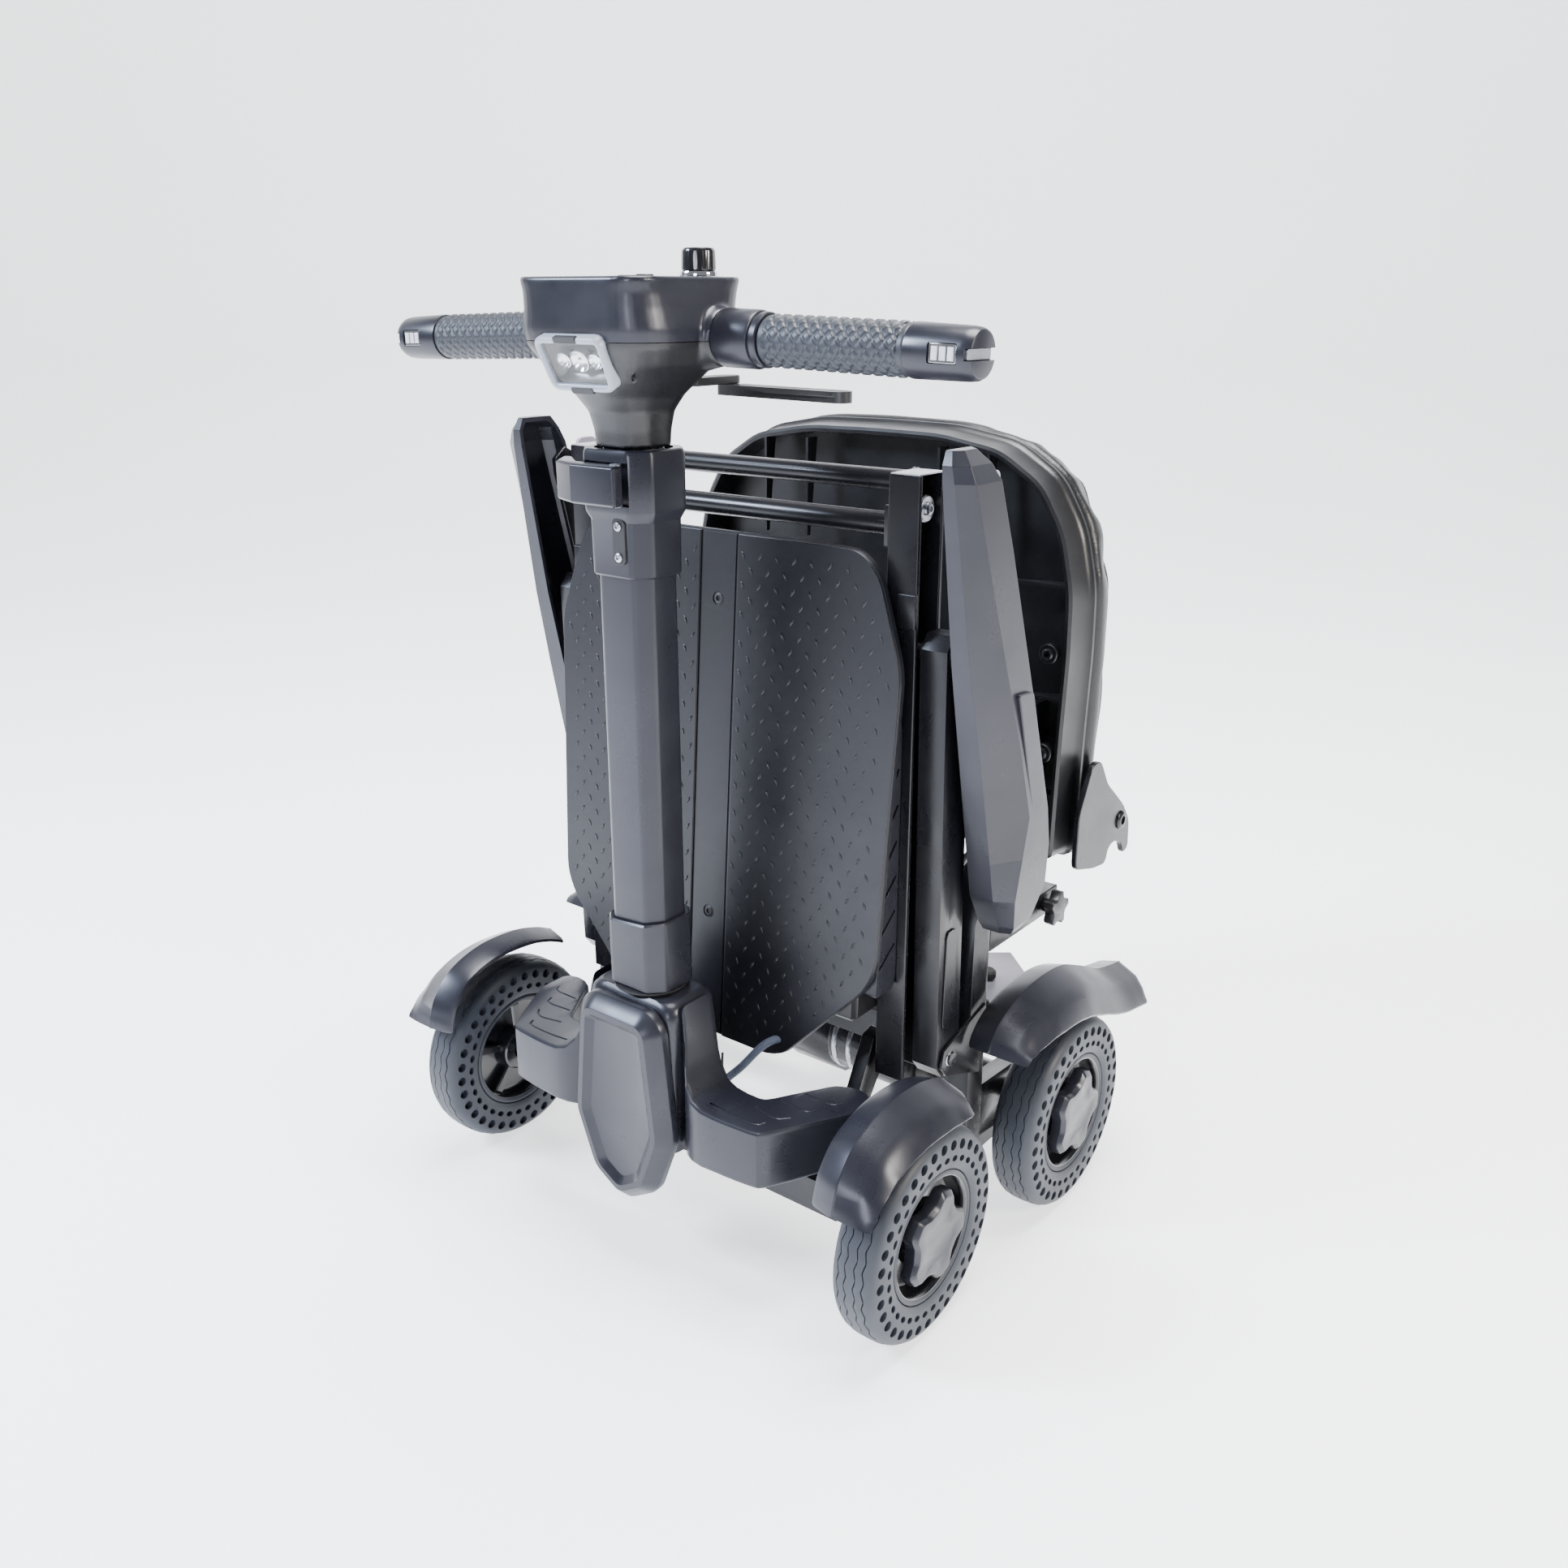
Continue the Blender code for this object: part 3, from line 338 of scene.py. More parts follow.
# ---- pieces
def to_object(name, bm, mat):
    bmesh.ops.recalc_face_normals(bm, faces=bm.faces)
    bmesh.ops.translate(bm, vec=SHIFT, verts=bm.verts)
    mesh = bpy.data.meshes.new(name)
    bm.to_mesh(mesh)
    bm.free()
    made = bpy.data.objects.new(name, mesh)
    mesh.materials.append(MAT[mat])
    bpy.context.scene.collection.objects.link(made)
    return made


def soften(obj, edge, segments=3, angle=32):
    obj.data.shade_smooth()
    if edge:
        rim = obj.modifiers.new("Edge", "BEVEL")
        rim.width = edge
        rim.segments = segments
        rim.limit_method = "ANGLE"
        rim.angle_limit = math.radians(angle)
        rim.harden_normals = True
    else:
        obj.data.set_sharp_from_angle(angle=math.radians(angle))


def piece(name, bm, of, mat=None, stands=False, edge=0.0, segments=3, angle=32):
    """A shown piece that rides on the body of CAD node `of`."""
    made = to_object(name, bm, mat or SLOT[of])
    soften(made, edge, segments, angle)
    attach(made, BODY[of])
    if stands:
        replace(of)
    return made


def replace(node):
    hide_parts(node)
    REPLACED.add(node)


def pair(label, bm, node, mat=None, stands=False, **look):
    """The same piece on both sides. A node's name that ends in _ gets the side's name too."""
    for name, side in SIDES:
        of = node + name if node.endswith("_") else node
        piece(label + name, flip(bm.copy(), side), of, mat, stands, **look)


def node_mesh(node):
    """The CAD node's own shape, without the edges inside its flat faces."""
    bm = bmesh.new()
    bm.from_mesh(frame["nodes"][node].data)
    bmesh.ops.remove_doubles(bm, verts=bm.verts, dist=MERGE)
    bmesh.ops.dissolve_limit(bm, angle_limit=math.radians(1.0), verts=bm.verts, edges=bm.edges)
    bmesh.ops.translate(bm, vec=-SHIFT, verts=bm.verts)
    return bm


def refine(node, edge, segments=3, angle=32):
    """The CAD node's own shape with its edges softened. A name that ends in _ means both sides."""
    for name in [node + side for side, _ in SIDES] if node.endswith("_") else [node]:
        piece(name + "_skin", node_mesh(name), name, None, True, edge, segments, angle)


def apply_all(obj):
    """Makes what an object's modifiers give its own mesh."""
    graph = bpy.context.evaluated_depsgraph_get()
    mesh = bpy.data.meshes.new_from_object(obj.evaluated_get(graph))
    obj.modifiers.clear()
    old = obj.data
    obj.data = mesh
    bpy.data.meshes.remove(old)


def cut(obj, bm):
    """Cuts a helper body out of an object for good."""
    tool = to_object("tool", bm, "steel")
    step = obj.modifiers.new("Cut", "BOOLEAN")
    step.operation = "DIFFERENCE"
    step.solver = "EXACT"
    step.object = tool
    apply_all(obj)
    bpy.data.objects.remove(tool)


def carve(bm, *tools):
    """The body left after helper bodies are cut from it, as a new bmesh."""
    obj = to_object("carved", bm, "steel")
    for tool in tools:
        cut(obj, tool)
    made = bmesh.new()
    made.from_mesh(obj.data)
    bmesh.ops.translate(made, vec=-SHIFT, verts=made.verts)
    bpy.data.objects.remove(obj)
    return made


def remeshed(bm, voxel, rounds):
    """The body remeshed to even cells and smoothed, so that its joins flow together."""
    obj = to_object("remesh", bm, "steel")
    step = obj.modifiers.new("Remesh", "REMESH")
    step.mode = "VOXEL"
    step.voxel_size = voxel
    relax = obj.modifiers.new("Relax", "SMOOTH")
    relax.factor = 0.5
    relax.iterations = rounds
    graph = bpy.context.evaluated_depsgraph_get()
    made = bmesh.new()
    made.from_mesh(obj.evaluated_get(graph).to_mesh())
    bmesh.ops.translate(made, vec=-SHIFT, verts=made.verts)
    bpy.data.objects.remove(obj)
    return made


def bolt(x, y, z, axis, radius, height):
    """A button head screw whose head rises along +axis (or -axis) from a point."""
    profile = [(0.0, radius), (height * 0.45, radius), (height * 0.85, radius * 0.82), (height, radius * 0.6),
        (height, radius * 0.48), (height * 0.35, radius * 0.44)]
    bm = spindle("z", profile, 24)
    turn = {"x": Matrix.Rotation(math.pi / 2, 4, "Y"), "-x": Matrix.Rotation(-math.pi / 2, 4, "Y"),
        "y": Matrix.Rotation(-math.pi / 2, 4, "X"), "-y": Matrix.Rotation(math.pi / 2, 4, "X"),
        "z": Matrix.Identity(4), "-z": Matrix.Rotation(math.pi, 4, "X")}[axis]
    return turned(bm, Matrix.Translation((x, y, z)) @ turn)


# ---- wheels
WHEEL_R = 0.0875
HOLES = 34
WAVE = 8  # steps of one zigzag of the grooves
TYRE_STEPS = HOLES * WAVE
HOLE_SIDES = 14


def tyre_mesh():
    """A solid tyre about X with two rings of holes on both walls and zigzag grooves."""
    wall = mm([(15, 53.5), (17.6, 54.8), (19, 57.2), (19.7, 60.5), (20, 68), (19.9, 76), (19.1, 80),
        (17.2, 83.2), (14.6, 85.2)])
    groove = mm([(12.1, 86.2), (11.5, 86.3), (11, 84.8), (10.5, 86.7), (7.5, 87.2), (5.2, 87.3), (4.7, 87.3),
        (4.2, 86), (3.7, 87.4)])
    outer = wall + groove
    wavy = set(range(len(wall) + 1, len(wall) + 4)) | set(range(len(wall) + 6, len(wall) + 9))
    profile = [(x, r, i in wavy) for i, (x, r) in enumerate(outer)]
    profile += [(-x, r, wave) for x, r, wave in reversed(profile)]
    rings = []
    for k in range(TYRE_STEPS):
        angle = TAU * k / TYRE_STEPS
        zigzag = 0.0011 * (1 - 2 * abs(2 * (k % WAVE) / WAVE - 1))
        rings.append([(x + (zigzag if wave else 0.0), r * math.cos(angle), r * math.sin(angle))
            for x, r, wave in profile])
    tyre = tube_of(rings, closed=True)
    cutters = []
    for k in range(HOLES):
        for radius, half_r, half_t, phase in ((0.0752, 0.004, 0.0042, 0.0), (0.064, 0.0025, 0.0036, 0.5)):
            angle = TAU * (k + phase) / HOLES
            for side in (1, -1):
                rings = []
                for x, size in ((0.0135, 0.55), (0.015, 0.92), (0.022, 1.1)):
                    ring = []
                    for i in range(HOLE_SIDES):
                        t = TAU * i / HOLE_SIDES
                        across = radius + half_r * size * math.cos(t)
                        sideways = half_t * size * math.sin(t)
                        ring.append((x * side, across * math.cos(angle) - sideways * math.sin(angle),
                            across * math.sin(angle) + sideways * math.cos(angle)))
                    rings.append(ring)
                cutters.append(tube_of(rings))
    tool = joined(*cutters)
    bmesh.ops.recalc_face_normals(tool, faces=tool.faces)
    bmesh.ops.recalc_face_normals(tyre, faces=tyre.faces)
    return carve(tyre, tool)


# Rows of distance from the wheel's middle plane, radius: the tyre's foot on the rim
BEAD = mm([(15, 54), (17.2, 53.6), (17.8, 52), (17, 49.8), (14, 47.8), (12.5, 48), (12, 53)])


def rim_mesh():
    """The dished rim with five ribs behind its web."""
    profile = mm([(14.8, 53.3), (16.4, 52.8), (17.1, 51.2), (16.6, 49), (14.6, 47.4), (11, 46.6), (4, 46.2),
        (1.4, 45.2), (0.6, 42.5), (0.6, 30), (2, 27), (9, 26.2), (11, 24.5), (11, 9), (-16.8, 9),
        (-16.8, 18.5), (-15.5, 20), (-4, 23), (-3.4, 42), (-5, 45.5), (-13, 47), (-16.2, 49), (-16.8, 51.2),
        (-16, 52.8), (-14.8, 53.3)])
    bodies = [lathe("x", profile, 0, 0, 72)]
    for k in range(5):
        outline = fillet(mm([(18, -3), (46.2, -4.8), (46.2, 4.8), (18, 3)]), 0.001, 2)
        rib = loft("x", [(outline, -0.003), (outline, -0.0105), (inset(outline, 0.0012), -0.012)])
        bodies.append(turned(rib, Matrix.Rotation(TAU * (k + 0.25) / 5, 4, "X")))
    return joined(*bodies)


def star_outline(outer, inner, lobes, broad, corner, turn):
    """A star with broad tips and broad hollows: broad is the half width of a tip, in turns."""
    points = []
    for i in range(lobes):
        for radius, shift in ((outer, -broad), (outer, broad), (inner, 0.5 / lobes - broad),
                (inner, 0.5 / lobes + broad)):
            angle = TAU * (i / lobes + shift) + turn
            points.append((radius * math.cos(angle), radius * math.sin(angle)))
    return fillet(points, corner)


def cap_mesh():
    """The star hub cap: a chamfered top and a small step round its foot."""
    sections = []
    for x, scale in ((0.0112, 1.0), (0.015, 1.0), (0.02, 0.985), (0.0228, 0.9), (0.0234, 0.875),
            (0.0234, 0.6), (0.0232, 0.58)):
        outline = star_outline(0.0402 * scale, 0.0312 * scale, 5, 0.03, 0.003, math.radians(70))
        sections.append((outline, x))
    return loft("x", sections)


def build_wheels():
    tyre, rim, cap = tyre_mesh(), rim_mesh(), cap_mesh()
    for place in ("front", "rear"):
        for name, side in SIDES:
            tyre_node, rim_node = f"{place}_{name}_tyre", f"{place}_{name}_rim"
            low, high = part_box(tyre_node)
            centre = (low + high) / 2 - SHIFT
            at = Matrix.Translation(centre) @ Matrix.Diagonal((side, 1, 1, 1))
            for label, source, of, mat in (("tyre", tyre, tyre_node, "tyre_rubber"),
                    ("wheel_rim", rim, rim_node, "rim_black"), ("hub_cap", cap, rim_node,
                    "charcoal_plastic")):
                piece(f"{label}_{place}_{name}", turned(source.copy(), at), of, mat,
                    stands=label != "hub_cap", edge=0.0006 if label == "hub_cap" else 0.0, segments=2,
                    angle=30)


# ---- mudguards
def fender(name, side, x0, x1, crown, drop, of):
    """A thin shell swept along the crown, with a crease and a rolled outer lip."""
    steps = 6
    line = smooth_line([(0, y, z) for y, z in crown], steps)
    falls = np.interp(np.arange(len(line)) / steps, np.arange(len(drop)), drop)
    ridge = x0 + 0.4 * (x1 - x0)
    rings = []
    for i, point in enumerate(line):
        ahead = (line[min(i + 1, len(line) - 1)] - line[max(i - 1, 0)]).normalized()
        out = Vector((0, -ahead.z, ahead.y))
        fall = falls[i]
        section = [(x0, -0.0085), (x0 + 0.0012, -0.0062), (x0 + 0.005, -0.0042), (ridge - 0.0015, -0.0003),
            (ridge, 0.0), (ridge + 0.0012, -0.0009), (x1 - 0.015, -0.3 * fall), (x1 - 0.0065, -0.62 * fall),
            (x1 - 0.003, -0.84 * fall), (x1 - 0.0005, -0.96 * fall), (x1, -fall),
            (x1 - 0.0008, -fall - 0.0018), (x1 - 0.0024, -fall - 0.0012), (x1 - 0.0048, -0.86 * fall - 0.001),
            (x1 - 0.009, -0.62 * fall - 0.0026), (x1 - 0.017, -0.3 * fall - 0.0032), (ridge, -0.0034),
            (x0 + 0.0056, -0.0074), (x0 + 0.003, -0.0088)]
        end = min(i, len(line) - 1 - i)
        shrink = 0.0012 if end == 0 else 0.0
        rings.append([Vector((x + (shrink if x < ridge else -shrink), point.y, point.z)) + out * h
            for x, h in section])
    return piece(name + "_shell", flip(tube_of(rings), side), of, None, True, angle=28)


def build_fenders():
    for name, side in SIDES:
        fender("front_fender_" + name, side, 0.2005, 0.256, mm([(-98.5, 150), (-96, 160), (-89, 177),
            (-69, 197), (-34, 208), (6, 207.5), (33, 201), (52, 192.5)]), mm([3, 8, 16, 23, 26, 26, 23, 18]),
            "front_fender_" + name)
        fender("rear_fender_" + name, side, 0.2075, 0.264, mm([(105, 192), (112, 204), (132, 218),
            (172, 227.5), (222, 225), (262, 210), (300, 192), (330, 184), (350, 180)]),
            mm([6, 14, 24, 33, 36, 34, 31, 30, 30]), "rear_fender_" + name)


# ---- steering head and wings
def build_wings():
    """Footrest wings: they leave the steering head in one sweep and turn back beside the wheels."""
    stations = mm([(49, -59.5, -24, 115, 244, 6), (51, -60.5, -24, 116, 236, 6),
        (53.5, -62, -24.5, 117, 218, 6), (57, -67, -25.5, 118, 199, 5.5), (62, -72, -27, 119, 185, 5),
        (70, -76.2, -29, 120, 176, 4.5), (81, -77.6, -30.5, 120, 172.2, 4), (93, -77.2, -31, 120.5, 171.2, 4),
        (105, -76.6, -30.5, 120.5, 171, 4), (110, -76.2, -28.5, 120.5, 171, 4),
        (114, -75.9, -23, 120.5, 171, 4), (127, -75, -1, 121, 171, 4), (134.5, -73.5, 11, 121, 171, 4),
        (137.5, -70.5, 16.5, 121, 171, 4), (142, -64, 22, 121.5, 171, 4), (150, -51, 26.5, 122, 170.8, 4),
        (160, -33, 28.5, 123, 170.6, 4), (168, -18, 27, 124, 170.2, 4), (173, -7, 23, 125, 169.4, 4),
        (175.5, 1, 17.5, 127, 167.5, 3)])
    grooves = mm([[(68.1, -63.2), (121.4, -63.9), (130.4, -56.8)], [(108.2, -43.7), (131.1, -47.7),
        (141.4, -39.6)], [(117.8, -24.3), (143.4, -25.7), (149.1, -17.6)],
        [(129.9, -5.8), (154, -4.9), (160, 2)]])
    body = loft("x", [(round_rect(*sides, radius), x) for x, *sides, radius in stations])
    tools = [sweep(smooth_line([(x, y, 0.1714) for x, y in line], 5), 0.0012, 8) for line in grooves]
    pair("wing_", carve(body, joined(*tools)), "footrest_", None, True, angle=22)


COFFIN = mm([(0, 57.5), (34, 78), (54.5, 132), (44, 230), (31, 242), (-31, 242), (-44, 230), (-54.5, 132),
    (-34, 78)])


def build_head():
    sections = []
    for depth, y in mm(((1, -70.5), (0, -72), (0, -77.8), (0.6, -79.2), (9.2, -88.4), (10.4, -89.2),
            (15, -89.3), (15.8, -88.8), (20.8, -84.6), (21.6, -84.3))):
        sections.append((fillet(inset(COFFIN, depth), 0.0095 - min(0.006, depth * 0.25), 5), y))
    piece("head_badge_cover", loft("y", sections), "head_cover", None, True, angle=24)
    sections = []
    for z, half, front, back, corner in mm(((108, 40, -64, -20, 10), (111, 44, -69, -18, 12),
            (160, 47.5, -70.2, -17, 12), (225, 47.5, -70.2, -13.5, 13), (234, 47, -69.8, -13.8, 13),
            (240, 44.8, -68, -15.5, 13), (243.6, 41, -65.5, -18.5, 12), (244.6, 37, -64.5, -20, 11))):
        sections.append((round_rect(-half, half, front, back, corner, 5), z))
    piece("head_body", loft("z", sections), "head_housing", None, True, angle=32)
    ring = lathe("z", mm([(244, 27.5), (246.2, 30.5), (248, 30.5), (248.3, 28.5), (248.3, 15), (244, 15)]),
        0.0, COLUMN_Y, 64)
    piece("head_bearing_ring", ring, "head_housing", "soft_black")


# ---- column
def octagon(half_x, half_y, corner):
    y = COLUMN_Y
    return [(half_x, y - half_y + corner), (half_x, y + half_y - corner), (half_x - corner, y + half_y),
        (-half_x + corner, y + half_y), (-half_x, y + half_y - corner), (-half_x, y - half_y + corner),
        (-half_x + corner, y - half_y), (half_x - corner, y - half_y)]


def sleeve_of(sections, bore):
    """An upright tube through outlines, with an eight-sided bore."""
    rings = [[(x, y, z) for x, y in fillet(octagon(*sides), 0.0028, 3)] for z, sides in sections]
    inner = fillet(octagon(*bore), 0.002, 3)
    top, bottom = sections[-1][0], sections[0][0]
    rings += [[(x, y, z) for x, y in inner] for z in (top, bottom)]
    return tube_of(rings, closed=True)


def build_column():
    tube = sleeve_of(mm([(252.5, (26.5, 22.5, 10)), (601.5, (26.5, 22.5, 10))]), (0.0228, 0.0188, 0.0085))
    piece("column_tube_skin", tube, "column_tube", None, True, angle=25)
    sleeve = sleeve_of(mm([(248.8, (29.5, 25.5, 11.2)), (250, (30.5, 26.5, 11.5)),
        (304.5, (30.3, 26.3, 11.5)), (305.8, (29.2, 25.2, 11.2))]), (0.0268, 0.0228, 0.0101))
    for vert in sleeve.verts:
        if vert.co.z > 0.3:
            vert.co.z += 0.085 * vert.co.x
    piece("column_sleeve_skin", sleeve, "column_sleeve", None, True, angle=25)
    collar = sleeve_of(mm([(578, (28.8, 25, 11)), (579.5, (30, 26.2, 11.5)), (618, (30.3, 26.6, 11.5)),
        (623.5, (33, 29.2, 12.2)), (626, (33.5, 29.8, 12.5)), (664, (33.5, 29.8, 12.5)),
        (667.2, (32.5, 29, 12.2)), (668, (31.2, 27.8, 11.8))]), (0.0268, 0.0228, 0.0101))
    pocket = prism("z", rectangle(-0.02, 0.0215, -0.074, -0.0655), 0.63, 0.66)
    piece("collar_skin", carve(collar, pocket), "clamp_collar", None, True, angle=25)
    plate = round_rect(0.003, 0.015, 0.588, 0.621, 0.0045, 5)
    piece("collar_plate", prism("y", plate, -0.0692, -0.0664), "clamp_collar", "soft_black", edge=0.0006)
    piece("collar_screws", joined(bolt(0.009, -0.0692, 0.6155, "-y", 0.0034, 0.0016),
        bolt(0.009, -0.0692, 0.5935, "-y", 0.0034, 0.0016)), "clamp_collar", "steel")
    refine("cam_lever", 0.0022, angle=20)
    pin = rod("z", 0.015, -0.0755, 0.0042, 0.6302, 0.6598, 0.0004, 20)
    piece("cam_pin", pin, "cam_lever", "steel")


# ---- console
POD = mm([(668.5, 24.5, -64, -18, 20), (680, 25.2, -65, -17, 21), (693, 27.5, -69, -14, 24),
    (704, 34, -76.5, -8, 28), (714, 44, -85, 0, 34), (725, 55, -92, 9, 40), (737, 62.2, -96.5, 16.5, 36),
    (748, 63.6, -98.5, 18, 36), (762, 61.2, -98.3, 19, 34), (772, 60.1, -98.1, 20.5, 31),
    (780.2, 60, -98, 21, 26), (781.8, 59.2, -97.2, 20, 25)])
BAR = Vector((0, -0.018, 0.745))
DROOP = math.radians(1.8)
PARTING = 0.7405
LAMP = Vector((0, -0.09425, 0.726))
LAMP_UP = Vector((0, -0.0175, 0.038)).normalized()
LAMP_OUT = Vector((0, -0.038, -0.0175)).normalized()


def on_bar(bm):
    """Places a body drawn along +X on the right half of the drooping handlebar."""
    return turned(bm, Matrix.Translation(BAR) @ Matrix.Rotation(DROOP, 4, "Y"))


def lamp_points(outline, out):
    return [tuple(LAMP + Vector((u, 0, 0)) + LAMP_UP * v + LAMP_OUT * out) for u, v in outline]


def bisected(bm, place, direction, keep_ahead):
    """The part of a body ahead of a plane or behind it, closed with a flat face."""
    made = bm.copy()
    found = bmesh.ops.bisect_plane(made, geom=made.verts[:] + made.edges[:] + made.faces[:], dist=1e-6,
        plane_co=place, plane_no=direction, clear_inner=keep_ahead, clear_outer=not keep_ahead)
    rim = [e for e in found["geom_cut"] if isinstance(e, bmesh.types.BMEdge)]
    bmesh.ops.edgenet_fill(made, edges=rim)
    return made


def build_console():
    pod = loft("z", [(round_rect(-half, half, front, back, corner, 8), z)
        for z, half, front, back, corner in POD])
    bosses = []
    for side in (1, -1):
        profile = mm(((30, 27), (45, 25), (56, 21.8), (64, 19.8), (69, 19)))
        bosses.append(flip(on_bar(spindle("x", profile, 40)), side))
    pod = remeshed(joined(pod, *bosses), 0.0015, 7)
    lamp = fillet(mm([(-29.8, -19.5), (29.8, -19.5), (31.8, 19.5), (-31.8, 19.5)]), 0.0085, 6)
    wide = inset(lamp, -0.0005)
    pocket = tube_of([lamp_points(wide, -0.014), lamp_points(wide, 0.03)])
    groove = tube_of([lamp_points(inset(lamp, -0.0022), -0.0012), lamp_points(inset(lamp, -0.0022), 0.03)])
    for label, above, node, mat in (("upper", True, "console_upper", "charcoal_plastic"),
            ("lower", False, "console_lower", "black_plastic")):
        half = bisected(pod, (0, 0, PARTING + (0.00025 if above else -0.00025)), (0, 0, 1), above)
        body = carve(half, pocket.copy(), groove.copy())
        if above:
            rim = tube_of([[(x, y, z) for x, y in round_rect(-0.052, 0.052, -0.09, 0.0125, 0.022, 8)]
                for z in (0.7806, 0.79)])
            body = carve(body, rim)
        piece("console_" + label + "_shell", body, node, mat, True, angle=38)
    inlay = round_rect(-0.0515, 0.0515, -0.0895, 0.012, 0.0215, 8)
    piece("console_panel", prism("z", inlay, 0.7795, 0.7811), "console_upper", "rim_black", edge=0.0004)
    gauge = joined(*[prism("z", round_rect(x, x + 0.0062, -0.046, -0.038, 0.001, 2), 0.7811, 0.7815)
        for x in (-0.03, -0.022, -0.014, -0.006)])
    piece("battery_gauge", gauge, "console_upper", "led")
    button = joined(rod("z", -0.028, -0.012, 0.0075, 0.7811, 0.7835, 0.0006),
        rod("z", 0.034, -0.06, 0.006, 0.7811, 0.7832, 0.0006))
    piece("console_buttons", button, "console_upper", "soft_black")
    screws = joined(bolt(0.04, -0.0795, 0.717, "-y", 0.0024, 0.0012),
        bolt(-0.04, -0.0795, 0.717, "-y", 0.0024, 0.0012))
    piece("console_screws", screws, "console_lower", "soft_black")
    build_lamp(lamp)


def build_lamp(lamp):
    inner = inset(lamp, 0.0048)
    rings = [lamp_points(points, out) for points, out in ((inset(lamp, 0.0004), -0.013), (lamp, -0.01),
        (lamp, 0.0004), (inset(lamp, 0.0006), 0.0016), (inset(lamp, 0.0018), 0.0022),
        (inset(lamp, 0.0036), 0.0018), (inner, 0.0004), (inner, -0.011), (inset(lamp, 0.003), -0.013))]
    piece("headlight_bezel", tube_of(rings, closed=True), "headlight", "frost", True, angle=40)
    bowl = [lamp_points(points, out) for points, out in ((inset(lamp, 0.004), -0.002),
        (inset(lamp, 0.0052), -0.002), (inset(lamp, 0.0075), -0.006), (inset(lamp, 0.0105), -0.0088),
        (inset(lamp, 0.0135), -0.01), (inset(lamp, 0.015), -0.0116), (inset(lamp, 0.004), -0.0122))]
    piece("headlight_bowl", tube_of(bowl, closed=True), "headlight", "rim_black")
    cups = []
    for u, r in mm(((-15, 5.8), (0, 7.8), (15, 5.8))):
        profile = ((-0.0098, r), (-0.0045, r), (-0.0042, r * 0.92), (-0.0075, r * 0.55), (-0.008, r * 0.4),
            (-0.0055, r * 0.34), (-0.0045, r * 0.15))
        cups.append(tube_of([lamp_points([(u + a, b) for a, b in circle(0, 0, size, 28)], out)
            for out, size in profile]))
    piece("headlight_cups", joined(*cups), "headlight", "chrome")
    glass = inset(lamp, 0.0046)
    piece("headlight_glass", tube_of([lamp_points(glass, -0.001), lamp_points(glass, 0.0002)]), "headlight",
        "lamp_lens", edge=0.0003)
    clips = []
    for v0, v1 in ((0.0158, 0.0204), (-0.0204, -0.016)):
        clip = round_rect(-0.0105, 0.0105, v0, v1, 0.001, 2)
        clips.append(tube_of([lamp_points(clip, -0.001), lamp_points(clip, 0.0026)]))
    piece("headlight_clips", joined(*clips), "headlight", "soft_black", edge=0.0004)


GRIP = (0.107, 0.2215)


def grip_mesh():
    """The rubber sleeve: rows of dimples set half a step apart from row to row."""
    radius, rows, around = 0.0162, 200, 144
    pitch, columns = 0.0046, 10
    rings = []
    for i in range(rows + 1):
        s = GRIP[0] + (GRIP[1] - GRIP[0]) * i / rows
        ring = []
        for k in range(around):
            angle = TAU * k / around
            r = radius
            if GRIP[0] + 0.005 < s < GRIP[1] - 0.005:
                row = math.floor((s - GRIP[0]) / pitch)
                for near in (row - 1, row, row + 1, row + 2):
                    column = round(angle / TAU * columns - 0.5 * (near % 2)) + 0.5 * (near % 2)
                    a = (s - GRIP[0] - near * pitch) / 0.0043
                    b = (angle - column * TAU / columns) * radius / 0.0047
                    d = abs(a) + abs(b)
                    if d < 1:
                        r = max(r, radius + 0.001 * min(1.0, 2.4 * (1 - d)))
            end = min(s - GRIP[0], GRIP[1] - s)
            if end < 0.001:
                r -= 0.0007 * (1 - end / 0.001)
            ring.append((s, r * math.cos(angle), r * math.sin(angle)))
        rings.append(ring)
    return tube_of(rings)


